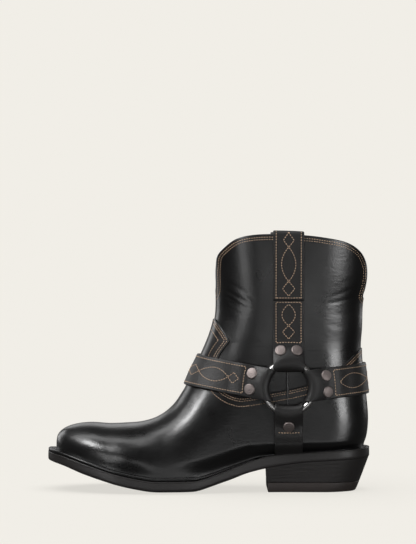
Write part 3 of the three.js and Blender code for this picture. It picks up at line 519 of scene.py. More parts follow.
def slab(points, faces, lift, depth, radius, steps=4):
    """A layer of leather: its outside is lifted off the mesh, its inside lies depth below the
    outside, and its rim is rounded over."""
    normals = normals_of(points, faces)
    edges = border(faces)
    tangent = {}
    for a, b in edges:
        for i in (a, b):
            tangent[i] = tangent.get(i, 0) + unit(points[b] - points[a])
    rim = list(tangent)
    out, down = unit(np.cross([tangent[i] for i in rim], normals[rim])), -normals[rim]
    top = points + normals * lift
    turns = np.arange(1, steps + 1) / steps * math.pi / 2
    under = min(radius, depth - radius) * UNDER_RIM
    rim_rows = [(radius * math.sin(turn), radius * (1 - math.cos(turn))) for turn in turns]
    rim_rows += [(radius, depth - under), (radius - under * UNDER_RIM, depth)]
    rows = [top[rim] + out * across + down * below for across, below in rim_rows]
    in_rim = {i: k for k, i in enumerate(rim)}
    count = len(points)

    def at(row, i):
        if row < 0:
            return i
        return i + count if row == len(rows) else 2 * count + row * len(rim) + in_rim[i]

    out_faces = list(faces) + [tuple(i + count for i in reversed(face)) for face in faces]
    out_faces += [(at(row, b), at(row, a), at(row + 1, a), at(row + 1, b))
                  for a, b in edges for row in range(-1, len(rows))]
    return np.vstack([top, top - normals * depth] + rows), out_faces


def polygon_field(outline):
    """Signed distance in side view, positive inside the outline."""
    outline = np.asarray(outline, float)
    nxt = np.roll(outline, -1, axis=0)

    def field(points):
        p = points[:, [0, 2]]
        result = np.full(len(p), 1e9)
        inside = np.zeros(len(p), bool)
        for (ax, az), (bx, bz) in zip(outline, nxt):
            run = np.array([bx - ax, bz - az])
            length = run @ run
            if length < 1e-12:
                continue
            t = clamp01(((p[:, 0] - ax) * run[0] + (p[:, 1] - az) * run[1]) / length)
            distance = np.hypot(p[:, 0] - ax - t * run[0], p[:, 1] - az - t * run[1])
            result = np.minimum(result, distance)
            crosses = (az > p[:, 1]) != (bz > p[:, 1])
            with np.errstate(divide="ignore", invalid="ignore"):
                at_x = (bx - ax) * (p[:, 1] - az) / (bz - az) + ax
            inside ^= crosses & (p[:, 0] < at_x)
        return np.where(inside, result, -result)

    return field


# The creases of the upper in side view: ends, width, depth (negative for a ridge).
CREASES = table("x0 z0 x1 z1 width depth", [
    (16, 176, 34, 165, 1.4, 0.38), (15, 171.5, 35, 160, 1.3, 0.42), (18, 167, 33, 157.5, 1.3, 0.34),
    (27, 178, 41, 168, 1.3, 0.26), (20, 161.5, 31, 154, 1.5, 0.2), (16, 184, 27, 178, 1.6, 0.12),
    (105, 165, 130, 170, 1.7, 0.18), (112, 156, 132, 156, 1.9, 0.13), (108, 171, 124, 177, 1.5, 0.15),
    (116, 182, 132, 189, 2.0, 0.08), (104, 147, 120, 144, 2.6, 0.12),
    (-34, 100, -6, 84, 7.0, 0.35), (-42, 88, -16, 69, 8.0, 0.35), (-64, 61, -58, 42, 9.0, 0.3)])


def crease_depth(points):
    """How far the creases push the leather in."""
    total = np.zeros(len(points))
    for x0, z0, x1, z1, width, depth in zip(*CREASES.values()):
        run = np.array([x1 - x0, z1 - z0])
        length = np.hypot(*run)
        run /= length
        along = (points[:, 0] - x0) * run[0] + (points[:, 2] - z0) * run[1]
        across = -(points[:, 0] - x0) * run[1] + (points[:, 2] - z0) * run[0]
        ends = 1.0
        for past in (along, length - along):
            ends = ends * ease((past + CREASE_FADE) / (2 * CREASE_FADE))
        total += depth * np.exp(-(across / width) ** 2) * ends
    return total


def upper_skin(sole=150, toe=56, back=50, shaft=110, rows=74):
    """The upper's base surface as a welded mesh, open underneath and at the top."""
    form = Form(rise=SKIN_RISE)
    xs = lerp(form.front_most, PIVOT_X, 1 - np.cos(np.arange(toe) / toe * math.pi / 2))
    under = PIVOT_X + (form.seat_x - PIVOT_X) * np.sin(np.arange(sole) / sole * math.pi / 2)
    first = float(turn_of(form.seat_x, feather(form.seat_x)))
    top = 2 + SKIN_RISE / (BOOT_HEIGHT - PIVOT_Z)
    turns = np.sort(np.concatenate([
        turn_of(xs, np.zeros_like(xs)), turn_of(under, feather(under)),
        np.linspace(first, 1, back, endpoint=False), np.linspace(1, top, shaft)]))
    spaced = [turns[0]]
    for turn in turns[1:-1]:
        if turn - spaced[-1] > CLOSEST_TURN and top - turn > CLOSEST_TURN:
            spaced.append(turn)
    turns = np.array(spaced + [top])
    s = (1 - np.cos(np.arange(rows + 1) / rows * math.pi)) / 2
    loop = np.concatenate([s, s[::-1][1:]])[None]
    side = np.concatenate([-np.ones(rows + 1), np.ones(rows)])
    x, z = [lerp(low[:, None], high[:, None], loop)
            for low, high in zip(form.back_at(turns), form.front_at(turns))]
    sides = np.broadcast_to(side, x.shape)
    y = swing(x) + sides * form.half_width(x, z, sides)
    points, faces = weld(np.stack([x, y, z], -1).reshape(-1, 3), grid_faces(*x.shape))
    outwards = normals_of(points, faces) * (points - [60.0, 0.0, 100.0])
    if np.mean(outwards.sum(axis=1)) < 0:
        faces = [tuple(reversed(face)) for face in faces]
    return points, faces


def surface_point(x, z, side):
    """Points on the upper's surface over side-view points, and the normals there."""
    x, z = np.asarray(x, float), np.asarray(z, float)

    def at(px, pz):
        return np.stack([px, swing(px) + side * BASE.half_width(px, pz, side), pz], -1)

    step = 0.4
    normal = unit(np.cross(at(x + step, z) - at(x - step, z), at(x, z + step) - at(x, z - step)) * -side)
    flip = np.sign(normal[..., 1]) * side
    return at(x, z), normal * np.where(flip == 0, 1, flip)[..., None]


def crease_point(x, z, side, lift):
    """Points lifted off the creased surface, and the normals there."""
    points, normal = surface_point(x, z, side)
    depth = crease_depth(points.reshape(-1, 3)).reshape(points.shape[:-1])
    return points + normal * (np.asarray(lift) - depth)[..., None], normal


# Materials


def new_node(tree, kind, values=()):
    """A new shader node with some of its numbers set."""
    node = tree.nodes.new("ShaderNode" + kind)
    for name, value in dict(values).items():
        node.inputs[name].default_value = value
    return node


def material_of(name, color, roughness, metallic=0.0, coat=0.0, specular=0.5):
    """A material with its node tree and its principled shader."""
    material = bpy.data.materials.new(name)
    material.use_nodes = True
    tree = material.node_tree
    shader = tree.nodes["Principled BSDF"]
    values = {"Base Color": (*color, 1), "Roughness": roughness, "Metallic": metallic,
              "Coat Weight": coat, "Coat Roughness": COAT_ROUGHNESS, "Specular IOR Level": specular}
    for socket, value in values.items():
        shader.inputs[socket].default_value = value
    return material, tree, shader


def noise(tree, scale, detail, stretch=None):
    """A noise over the object's own coordinates in metres, as an output."""
    where = new_node(tree, "TexCoord").outputs["Object"]
    if stretch:
        mapping = new_node(tree, "Mapping", {"Scale": stretch})
        tree.links.new(where, mapping.inputs["Vector"])
        where = mapping.outputs["Vector"]
    node = new_node(tree, "TexNoise", {"Scale": scale, "Detail": detail})
    tree.links.new(where, node.inputs["Vector"])
    return node.outputs["Fac"]


def remap(tree, source, low, high, first=0.3, last=0.7):
    """Maps a source onto a range of values. Most noise lies between 0.3 and 0.7."""
    span = new_node(tree, "MapRange", {"From Min": first, "From Max": last, "To Min": low, "To Max": high})
    tree.links.new(source, span.inputs["Value"])
    return span


def add_bump(tree, shader, source, strength, distance, before=None):
    """A bump on a shader, over the one before it."""
    bump = new_node(tree, "Bump", {"Strength": strength, "Distance": distance})
    tree.links.new(source, bump.inputs["Height"])
    if before:
        tree.links.new(before.outputs["Normal"], bump.inputs["Normal"])
    tree.links.new(bump.outputs["Normal"], shader.inputs["Normal"])
    return bump


def vary_roughness(tree, shader, source, low, high):
    """A sheen that varies with a noise."""
    tree.links.new(remap(tree, source, low, high).outputs["Result"], shader.inputs["Roughness"])


def leather(name, color, rough_low, rough_high, grain, coat):
    """Finished leather: fine pores over soft waves, and a sheen that varies a little."""
    material, tree, shader = material_of(name, color, 0.4, coat=coat)
    vary_roughness(tree, shader, noise(tree, 38, 4), rough_low, rough_high)
    waves = add_bump(tree, shader, noise(tree, 85, 2), 0.12, 0.0012)
    creasing = add_bump(tree, shader, noise(tree, 260, 4, (0.7, 0.7, 2.0)), 0.3, 0.0004, waves)
    pores = new_node(tree, "TexVoronoi", {"Scale": 1100})
    tree.links.new(new_node(tree, "TexCoord").outputs["Object"], pores.inputs["Vector"])
    add_bump(tree, shader, pores.outputs["Distance"], grain, 0.0002, creasing)
    return material


upper_leather = leather("upper_leather", (0.0035, 0.0034, 0.0036), 0.25, 0.38, 0.16, 0.25)
strap_leather = leather("strap_leather", (0.013, 0.0123, 0.0122), 0.38, 0.54, 0.8, 0.0)
thread_tan, _, _ = material_of("thread_tan", (0.66, 0.46, 0.31), 0.7)
sole_edge, tree, shader = material_of("sole_edge", (0.018, 0.016, 0.0156), 0.45, coat=0.1)
add_bump(tree, shader, noise(tree, 60, 4, (1, 1, 9)), 0.25, 0.0006)
top_rubber, tree, shader = material_of("top_rubber", (0.034, 0.0265, 0.024), 0.55)
add_bump(tree, shader, noise(tree, 240, 4), 0.3, 0.0004)
insole_leather = leather("insole_leather", (0.05, 0.035, 0.026), 0.5, 0.62, 0.3, 0.0)
steel, tree, shader = material_of("ring_steel", (0.60, 0.59, 0.58), 0.27, metallic=1.0)
vary_roughness(tree, shader, noise(tree, 260, 3), 0.2, 0.36)
pewter, tree, shader = material_of("rivet_metal", (0.27, 0.232, 0.223), 0.5, metallic=1.0)
add_bump(tree, shader, noise(tree, 420, 3), 0.3, 0.0003)


# The upper

skin, skin_faces = upper_skin()
skin = skin - normals_of(skin, skin_faces) * crease_depth(skin)[:, None]


def line_below(line):
    """Side-view outline of everything under a line that runs from the front to the back."""
    start, end = line[0], line[-1]
    margin = 40
    corners = [(end[0] + margin, end[1]), (end[0] + margin, -margin), (TOE_TIP - margin, -margin)]
    return np.vstack([line, corners, [(TOE_TIP - margin, start[1])]])


collar_curve = smooth_line(COLLAR_LINE, 10)
collar_field = polygon_field(line_below(collar_curve))
topline_points = side_points(TOPLINE)
side_rows = {key: values[2:] for key, values in TOPLINE.items()}
topline_curve = np.vstack([topline_points[:2], smooth_line(side_rows, 10)])
topline_field = polygon_field(line_below(topline_curve))

shell = clip(skin, skin_faces, lambda p: collar_field(p) - RIM_ROOM)
add_mesh("upper", *slab(*shell, 0.0, WALL, UPPER_RIM), upper_leather, "upper_leather", ["upper"])
vamp = clip(*shell, lambda p: topline_field(p) - RIM_ROOM)
add_mesh("vamp", *slab(*vamp, OVERLAY, OVERLAY + VAMP_ROOT, VAMP_RIM), upper_leather, "upper_leather")

# The straps

RING_X = float(place(RING_ALONG))
STRAP_LIFT = OVERLAY + GAP
LOOP = RING_BAR / 2 + GAP + STRAP / 2
LOOP_UNDER = 41.0
FOLD_END = 42.6
ANGLES = {"front": math.pi - 0.163, "rear": 0.1, "hanger": math.pi / 2, "lower": -math.pi / 2}
WIDTHS = {"front": FRONT_WIDTH, "rear": REAR_WIDTH, "hanger": VERTICAL_WIDTH, "lower": LOWER_WIDTH}
LIFTS = {"front": STRAP_LIFT, "rear": STRAP_LIFT, "hanger": GAP, "lower": STRAP_LIFT}
LOOP_INNER = {"front": 17.0, "rear": 16.6, "hanger": 13.5, "lower": 15.3}
FORMS = {"front": RAISED, "rear": RAISED, "hanger": PLAIN, "lower": RAISED}


def side_view(strap, r, b):
    """Side-view point at a distance r from the ring's middle along a strap, b across it."""
    c, s = math.cos(ANGLES[strap]), math.sin(ANGLES[strap])
    return RING_X + c * r - s * b, RING_UP + s * r + c * b


def along_strap(strap, x, z):
    """The r and b of a side-view point."""
    c, s = math.cos(ANGLES[strap]), math.sin(ANGLES[strap])
    dx, dz = x - RING_X, z - RING_UP
    return dx * c + dz * s, -dx * s + dz * c


def ring_plane(side):
    """The ring's middle plane: its distance from the boot's middle at the ring, and its lean."""
    low = RAISED.half_width(RING_X, RING_UP - RING_RADIUS, side)
    high = RAISED.half_width(RING_X, RING_UP + RING_RADIUS, side)
    lean = (high - low) / (2 * RING_RADIUS)
    turn = np.arange(12) * math.pi / 6
    dz = RING_RADIUS * np.sin(turn)
    wide = RAISED.half_width(RING_X + RING_RADIUS * np.cos(turn), RING_UP + dz, side)
    return np.max(wide - lean * dz) + FOLD_FIT + STRAP + GAP + RING_BAR / 2, lean


PLANES = {side: ring_plane(side) for side in (-1, 1)}


def ring_out(side, z):
    return PLANES[side][0] + PLANES[side][1] * (z - RING_UP)


def resting(strap, side, r, b, lift):
    """How far out a layer lies that rests on the boot under a strap's fold."""
    x, z = side_view(strap, r, b)
    return FORMS[strap].half_width(x, z, side) + FOLD_FIT + lift


STEPS = 14
BENDS = 16
FOLD_ROWS = STEPS + BENDS + 1 + STEPS


def fold_path(strap, side, row, b):
    """Middle line of a strap's folded end: distance r and outward place y at each row and b."""
    row, b = np.broadcast_arrays(np.asarray(row), np.asarray(b, float))
    bar = np.sqrt(np.maximum(RING_RADIUS ** 2 - b ** 2, 1))
    closest = (RING_BAR / 2 + GAP) * RING_RADIUS / bar + STRAP / 2
    reach = np.maximum(closest, bar - LOOP_INNER[strap] - STRAP / 2)
    ring_y = ring_out(side, side_view(strap, bar, b)[1])
    t = clamp01(row / STEPS)
    under_r = lerp(LOOP_UNDER, bar, t)
    under_y = lerp(resting(strap, side, under_r, b, STRAP / 2), ring_y - LOOP, lerp(t, ease(t), FOLD_EASE))
    turn = -math.pi / 2 - clamp01((row - STEPS) / BENDS) * math.pi
    back_r = lerp(bar, FOLD_END, clamp01((row - STEPS - BENDS) / STEPS))
    back_y = fold_top(strap, side, back_r, b)
    r = np.where(row < STEPS, under_r, np.where(row <= STEPS + BENDS, bar + reach * np.cos(turn), back_r))
    y = np.where(row < STEPS, under_y, np.where(row <= STEPS + BENDS, ring_y + LOOP * np.sin(turn), back_y))
    return r, y


def fold_top(strap, side, r, b):
    """Middle of the fold's outer layer."""
    bar = np.sqrt(np.maximum(RING_RADIUS ** 2 - np.asarray(b) ** 2, 1))
    ring_y = ring_out(side, side_view(strap, bar, b)[1])
    rest = resting(strap, side, r, b, STRAP * 1.5 - FOLD_FIT)
    return lerp(ring_y + LOOP, rest, ease((r - bar) / FOLD_DROP))


def room_slopes(strap):
    """Half room on either side of a strap, as tangents, between it and its neighbours."""
    turns = [math.remainder(other - ANGLES[strap], 2 * math.pi) for other in ANGLES.values()]
    left = min(t for t in turns if t > 0.01) / 2
    right = max(t for t in turns if t < -0.01) / 2
    return math.tan(left), math.tan(-right)


CORNER = 0.9
HALF = STRAP / 2


def lane_shares(lanes=9, steps=4):
    """Lanes across a strap: the share of its flat part, the distance past it, and the half
    thickness there, thinner over the rounded edges."""
    turn = np.linspace(0, math.pi / 2, steps + 1)[1:]
    rounded = [(1.0, CORNER * math.sin(t), HALF - CORNER * (1 - math.cos(t))) for t in turn]
    flat = [(share_across, 0.0, HALF) for share_across in np.linspace(-1, 1, lanes)]
    return np.array([(-a, -b, c) for a, b, c in reversed(rounded)] + flat + rounded)


def lane_places(left, right, lanes):
    """Places across a strap for each row and lane, from its half widths on both sides."""
    across, past = lanes[:, 0], lanes[:, 1]
    return across * np.where(across > 0, (left - CORNER)[:, None], (right - CORNER)[:, None]) + past


def grid_normals(grid, row, side):
    """Unit normals of a grid of points, out of the boot at the middle of one row."""
    normals = unit(np.cross(np.gradient(grid, axis=0), np.gradient(grid, axis=1)))
    return normals if normals[row, grid.shape[1] // 2, 1] * side > 0 else -normals


def oriented(points, faces):
    """Faces turned so that the closed mesh's volume is positive."""
    volume = 0.0
    for face in faces:
        a = points[face[0]]
        for k in range(1, len(face) - 1):
            volume += np.dot(a, np.cross(points[face[k]], points[face[k + 1]]))
    return points, faces if volume > 0 else [tuple(reversed(face)) for face in faces]


def tube(loops):
    """A closed mesh from rows of points, each row a loop."""
    return oriented(loops.reshape(-1, 3), tube_faces(*loops.shape[:2]))


def joined(pieces):
    """Several meshes as one."""
    points, faces, count = [], [], 0
    for p, f in pieces:
        points.append(p)
        faces += [tuple(i + count for i in face) for face in f]
        count += len(p)
    return np.vstack(points), faces


def fold_width(strap, side, slope, sign):
    """Half width along a fold, kept clear of the neighbouring fold."""
    row = np.arange(FOLD_ROWS)
    low, high = np.zeros(FOLD_ROWS), np.full(FOLD_ROWS, WIDTHS[strap] / 2)
    middle = high
    for _ in range(18):
        fits = middle <= slope * fold_path(strap, side, row, sign * middle)[0] - GAP * 2
        low, high = np.where(fits, middle, low), np.where(fits, high, middle)
        middle = (low + high) / 2
    return low


BAND_ROWS = 64


def band_end(strap, b):
    """How far a strap reaches from the ring, for each place across it."""
    if strap == "hanger":
        return STRAP_SEAM_UP - RING_UP + 0 * b
    if strap == "lower":
        return RING_UP - feather(RING_X + b) - GAP
    line = FRONT_CURVE if strap == "front" else BACK_CURVE
    r, across = along_strap(strap, line[:, 0], line[:, 1])
    near = (r > LOOP_UNDER) & (np.abs(across) < 30)
    order = np.argsort(across[near])
    return np.interp(b, across[near][order], r[near][order])


def strap_lift(strap, r):
    """Height of a strap's middle over the boot: it is doubled near the ring."""
    return LIFTS[strap] + HALF + STRAP * (1 - ease((r - DOUBLED_TO) / DOUBLED_FADE))


def half_sheet(strap, side, lanes):
    """One side of a strap, from its tail behind the ring to its far end: r, b, the fold's
    points and the boot's surface under it."""
    left_slope, right_slope = room_slopes(strap)
    full = np.full(BAND_ROWS, WIDTHS[strap] / 2)
    left = np.concatenate([fold_width(strap, side, left_slope, 1), full])
    right = np.concatenate([fold_width(strap, side, right_slope, -1), full])
    b = lane_places(left, right, lanes)
    folded = b[:FOLD_ROWS]
    r_fold, y_fold = fold_path(strap, side, np.arange(FOLD_ROWS)[:, None], folded)
    t = (np.arange(BAND_ROWS) + 1)[:, None] / BAND_ROWS
    t = np.sin(t * math.pi / 2) if strap in ("front", "rear") else t
    flat = b[FOLD_ROWS:]
    r = np.vstack([r_fold, FOLD_END + (band_end(strap, flat) - FOLD_END) * t])
    x, z = side_view(strap, r, b)
    y = np.vstack([y_fold, np.zeros_like(flat)])
    on_fold = np.stack([x, side * y, z], -1)
    surface = np.stack([x, swing(x) + side * BASE.half_width(x, z, side), z], -1)
    return r, b, on_fold, surface


def sheet(strap, sides):
    """A whole strap as the middle surface, its normals and its r and b, row by row."""
    lanes = lane_shares()
    parts = [half_sheet(strap, side, lanes) for side in sides]
    if len(parts) == 2:
        parts[1] = [a[::-1][1:] for a in parts[1]]
    r, b, on_fold, surface = [np.concatenate(values) for values in zip(*parts)]
    row, side = FOLD_ROWS + 2, sides[0]
    normals = grid_normals(surface, row, side)
    depth = crease_depth(surface.reshape(-1, 3)).reshape(r.shape)
    on_band = surface + normals * (strap_lift(strap, r) - depth)[..., None]
    weight = ease((r - BAND_START) / BAND_BLEND)
    rows = np.arange(len(r))
    weight[np.minimum(rows, len(r) - 1 - rows if len(parts) == 2 else rows) < STEPS + BENDS] = 0
    grid = on_fold + (on_band - on_fold) * weight[..., None]
    return {"grid": grid, "normals": grid_normals(grid, row, side), "r": r, "b": b, "thick": lanes[:, 2]}


def sheet_point(data, row, b):
    """Points on a strap's outside at fractional rows and places across, and the normals there."""
    low = np.clip(np.floor(row).astype(int), 0, len(data["r"]) - 2)
    t = (row - low)[:, None]

    def at(key, lines):
        return np.array([[np.interp(across, data["b"][line], data[key][line, :, axis]) for axis in range(3)]
                         for line, across in zip(lines, b)])

    point, normal = [lerp(at(key, low), at(key, low + 1), t) for key in ("grid", "normals")]
    return point + unit(normal) * HALF, unit(normal)


def arc_rows(data):
    """Arc length along a strap's middle lane from the outside of the fold, for each row."""
    middle = data["grid"][:, data["grid"].shape[1] // 2]
    arc = np.concatenate([[0], np.cumsum(np.linalg.norm(np.diff(middle, axis=0), axis=1))])
    return arc - arc[STEPS + BENDS]


PULL_UP, PULL_TURN, PULL_DOWN = 40, 12, 20
PULL_ROWS = PULL_UP + PULL_TURN + PULL_DOWN


def pull_path(side, row, b):
    """Middle line of a pull strap: up the shaft, over the collar and down inside."""
    row, b = np.broadcast_arrays(np.asarray(row), np.asarray(b, float))
    x = RING_X + b
    edge = np.interp(x, collar_curve[:, 0], collar_curve[:, 1]) + PULL_CLEAR
    out = GAP + STRAP / 2
    up_z = lerp(STRAP_SEAM_UP + GAP, edge, clamp01(row / PULL_UP))
    turn = clamp01((row - PULL_UP) / PULL_TURN) * math.pi
    down_z = lerp(edge, STRAP_SEAM_UP + PULL_TAIL, clamp01((row - PULL_UP - PULL_TURN) / PULL_DOWN))
    rising, turning = row < PULL_UP, row <= PULL_UP + PULL_TURN
    z = np.where(rising, up_z, np.where(turning, edge + PULL_BEND * np.sin(turn), down_z))
    body = BASE.half_width(x, np.minimum(z, edge), side)
    over = body - WALL / 2 + (WALL / 2 + out) * np.cos(turn)
    return z, np.where(rising, body + out, np.where(turning, over, body - WALL - out))


def pull_sheet(side):
    """A whole pull strap, as sheet gives the others."""
    lanes = lane_shares(13)
    half = np.full(PULL_ROWS, VERTICAL_WIDTH / 2)
    b = lane_places(half, half, lanes)
    z, y = pull_path(side, np.arange(PULL_ROWS)[:, None], b)
    grid = np.stack([RING_X + b, side * y, z], -1)
    return {"grid": grid, "normals": grid_normals(grid, 2, side), "r": z, "b": b, "thick": lanes[:, 2]}


def body_of(data):
    """A closed strap from its middle surface."""
    off = data["normals"] * data["thick"][None, :, None]
    return tube(np.concatenate([data["grid"] + off, (data["grid"] - off)[:, ::-1]], 1))


SHEETS = {"front": sheet("front", (-1, 1)), "rear": sheet("rear", (-1, 1))}
for strap in ("front", "rear"):
    add_mesh(f"{strap}_strap", *body_of(SHEETS[strap]), strap_leather, "strap_leather", [f"{strap}_strap"])
for side, name in SIDES:
    for strap in ("hanger", "lower"):
        SHEETS[strap, side] = sheet(strap, (side,))
    SHEETS["pull", side] = pull_sheet(side)
    for strap in ("hanger", "lower", "pull"):
        piece = f"{strap}_strap_{name}"
        add_mesh(piece, *body_of(SHEETS[strap, side]), strap_leather, "strap_leather", [piece])

# Rings and rivets


def torus(side, around=120, bar=28):
    """A harness ring, leaning with the boot's side."""
    u = np.arange(around)[:, None] / around * 2 * math.pi
    v = np.arange(bar)[None] / bar * 2 * math.pi
    radius = RING_RADIUS + RING_BAR / 2 * np.cos(v)
    out, lean = PLANES[side]
    norm = math.hypot(1, lean)
    along = radius * np.sin(u)
    off = RING_BAR / 2 * np.sin(v) + 0 * u
    x = RING_X + radius * np.cos(u)
    z = RING_UP + (along - off * lean) / norm
    y = out + (along * lean + off) / norm
    points = np.stack([x, side * y, z], -1).reshape(-1, 3)
    faces = [tuple(i % len(points) for i in face) for face in grid_faces(around + 1, bar, closed=True)]
    return oriented(points, faces)


for side, name in SIDES:
    add_mesh(f"ring_{name}", *torus(side), steel, "ring_steel", [f"ring_{name}"])


def sheet_of(strap, side):
    return SHEETS[strap] if strap in SHEETS else SHEETS[strap, side]


def row_of(strap, side, r):
    """Row of a strap's outside at a distance r from the ring."""
    rows = sheet_of(strap, side)["r"]
    start = STEPS + BENDS
    outer = rows[start:FOLD_ROWS + BAND_ROWS, rows.shape[1] // 2]
    row = start + np.interp(r, outer, np.arange(len(outer)))
    return len(rows) - 1 - row if side > 0 and strap in SHEETS else row


# Rivets: name, strap, distance from the ring and place across in spacings.
RIVETS = [("hanger_front", "hanger", 32.3, 0.5), ("hanger_rear", "hanger", 32.3, -0.5),
          ("front_upper", "front", 33.5, -0.5), ("front_lower", "front", 33.5, 0.5),
          ("rear_upper", "rear", 33.6, 0.5), ("rear_lower", "rear", 33.6, -0.5),
          ("lower", "lower", 33.6, 0.0)]
# A rivet's head, by its radius and its height over the strap.
HEAD = np.array([(0, 1.5), (1.0, 1.49), (1.25, 1.38), (1.6, 1.46), (2.9, 1.42), (3.15, 1.3), (3.45, 1.4),
                 (4.2, 1.3), (4.6, 1.1), (4.9, 0.75), (5.05, 0.35), (5.05, -0.9)])


def rivet(strap, side, r, b, segments=36):
    """A flat concentric head that sits on its strap."""
    row = np.array([row_of(strap, side, r)], float)
    (centre,), (normal,) = sheet_point(sheet_of(strap, side), row, [b])
    across = unit(np.cross(normal, [0, 0, 1.0]))
    up = np.cross(across, normal)
    u = np.arange(segments) / segments * 2 * math.pi
    ring = np.cos(u)[:, None] * across + np.sin(u)[:, None] * up
    rows = [centre + ring * radius + normal * level for radius, level in HEAD[1:]]
    points = np.vstack([centre + normal * HEAD[0][1]] + rows)
    faces = [(0, 1 + (j + 1) % segments, 1 + j) for j in range(segments)]
    faces += [tuple(1 + i for i in face) for face in grid_faces(len(rows), segments, closed=True)]
    last = 1 + (len(rows) - 1) * segments
    faces.append(tuple(last + j for j in range(segments)))
    return oriented(points, faces)


for side, name in SIDES:
    heads = [rivet(strap, side, r, b * RIVET_SPACING) for _, strap, r, b in RIVETS]
    hidden = [f"rivet_{which}_{name}" for which, _, _, _ in RIVETS]
    add_mesh(f"rivets_{name}", *joined(heads), pewter, "rivet_metal", hidden, sharp=50)

# Sole, welt, heel and insole


def outline_loop(half, x0, x1, count=150):
    """Plan outline from the toe to the heel, along the lateral and along the medial side."""
    x = x0 + (x1 - x0) * (1 - np.cos(np.linspace(0, math.pi, count))) / 2
    return [np.stack([x, swing(x) + side * half(x, side)], 1) for side in (-1, 1)]


def inward(line, side):
    """Unit directions from a plan line towards the boot's middle."""
    run = unit(np.gradient(line, axis=0))
    return np.stack([-run[:, 1], run[:, 0]], 1) * -side


def plate(half, x0, x1, rows, crowned, top, lanes=13):
    """A plan-shaped plate. rows lists its wall from the bottom to the top as the distance in
    from the outline, the share of the thickness and a height to add."""
    walls = []
    for side, line in zip((-1, 1), outline_loop(half, x0, x1)):
        direction = inward(line, side)
        direction[0], direction[-1] = (1, 0), (-1, 0)
        wall = []
        for inset, part, extra in rows:
            p = line + direction * inset
            z = lerp(crowned(p[:, 0], np.ones(len(p))), top(p[:, 0]), part) + extra
            wall.append(np.column_stack([p, z]))
        walls.append(wall)
    lateral, medial = walls
    shares = np.linspace(0, 1, lanes)[1:-1]
    over, under = [[lerp(lateral[k], medial[k], t) for t in shares] for k in (-1, 0)]
    for t, p in zip(shares, under):
        p[:, 2] = crowned(p[:, 0], np.abs(2 * t - 1)) + rows[0][2]
    grid = np.stack(lateral + over + medial[::-1] + under[::-1], 1)
    return oriented(*weld(grid.reshape(-1, 3), grid_faces(*grid.shape[:2], closed=True)))


def crowned_bottom(x, lane):
    breast = float(place(HEEL_BREAST))
    fade = ease((x - TOE_TIP) / CROWN_FADE) * ease((breast - x) / CROWN_FADE)
    return np.maximum(0, sole_bottom(x) - CROWN * (1 - np.abs(lane) ** 3) * fade)


SOLE_WALL = [(0.9, 0, 0.0), (0.35, 0, 0.25), (0.05, 0, 0.8), (0, 0.3, 0), (0, 0.6, 0), (0.1, 1, -1.5),
             (0.1, 1, -1.25), (0.0, 1, -0.9), (0.0, 1, -0.35), (0.25, 1, -0.05), (0.7, 1, 0)]
add_mesh("outsole", *plate(sole_half, TOE_TIP, HEEL_TIP, SOLE_WALL, crowned_bottom, sole_top),
         sole_edge, "sole", ["outsole"], sharp=60)


WELT_WALL = [(0.0, 0.0, 0.3), (0.0, 1.0, -0.9), (0.15, 1.0, -0.45), (0.5, 1.0, -0.12), (1.0, 1.0, 0.0),
             (9.5, 1.0, 0.0), (9.5, 0.0, 0.0), (0.5, 0.0, 0.0)]


def welt_strip():
    """The welt as a strip round the forepart, tucked under the upper."""
    start, end = TOE_TIP + GAP, float(place(WELT_END))
    x = start + (end - start) * (1 - np.cos(np.linspace(0, math.pi / 2, 170)))
    lateral, medial = [np.stack([x, swing(x) + side * sole_half(x, side, GAP)], 1) for side in (-1, 1)]
    line = np.vstack([lateral[::-1], medial[1:]])
    direction = inward(line, 1)
    loops = []
    for inset, part, extra in WELT_WALL:
        p = line + direction * inset
        loops.append(np.column_stack([p, sole_top(p[:, 0]) + GAP + welt_height(p[:, 0]) * part + extra]))
    return tube(np.stack(loops, 1))


add_mesh("welt", *welt_strip(), upper_leather, "sole", ["welt"], sharp=60)


def foot_half(x, side, inset):
    front = quarter((x - TOE_WALL - inset) / (TOE_ROUND * SOLE_LENGTH))
    heel = BACK_ROUND["round"][0] * ANKLE_WIDTH / 2
    back = quarter((SEAT_BACK - inset - x) / (heel - inset))
    return np.maximum(0, plan_half(x, side) - inset) * front * back


INSET = WALL + 1.0
INSOLE_WALL = [(0.3, 0, 0), (0, 0, 0.4), (0, 1, -0.8), (0.4, 1, -0.1), (1, 1, 0)]
add_mesh("insole", *plate(lambda x, side: foot_half(x, side, INSET), TOE_WALL + INSET, SEAT_BACK - INSET,
                          INSOLE_WALL, lambda x, lane: feather(x), lambda x: feather(x) + INSOLE_THICKNESS),
         insole_leather, "insole", ["insole"], sharp=60)


def heel_loop(level, inset, count=90):
    """Plan outline of the heel block at a level, from the lateral breast round the back."""
    breast = float(place(HEEL_BREAST))
    down = clamp01(1 - level / sole_bottom(HEEL_TIP))
    front = breast + BREAST_SLANT * down + inset
    back = HEEL_TIP - HEEL_SLANT * down - inset
    along = np.sin(np.linspace(0, math.pi / 2, count))
    x = lerp(front, back, along)
    stretched = lerp(breast, HEEL_TIP, (x - front) / (back - front))
    narrower = (HEEL_TUCK * down + inset) * clamp01((1 - along) * TUCK_FADE)
    lateral, medial = [np.stack([x, side * np.maximum(0, sole_half(stretched, side) - narrower)], 1)
                       for side in (-1, 1)]
    return np.vstack([lateral, medial[::-1][1:]])


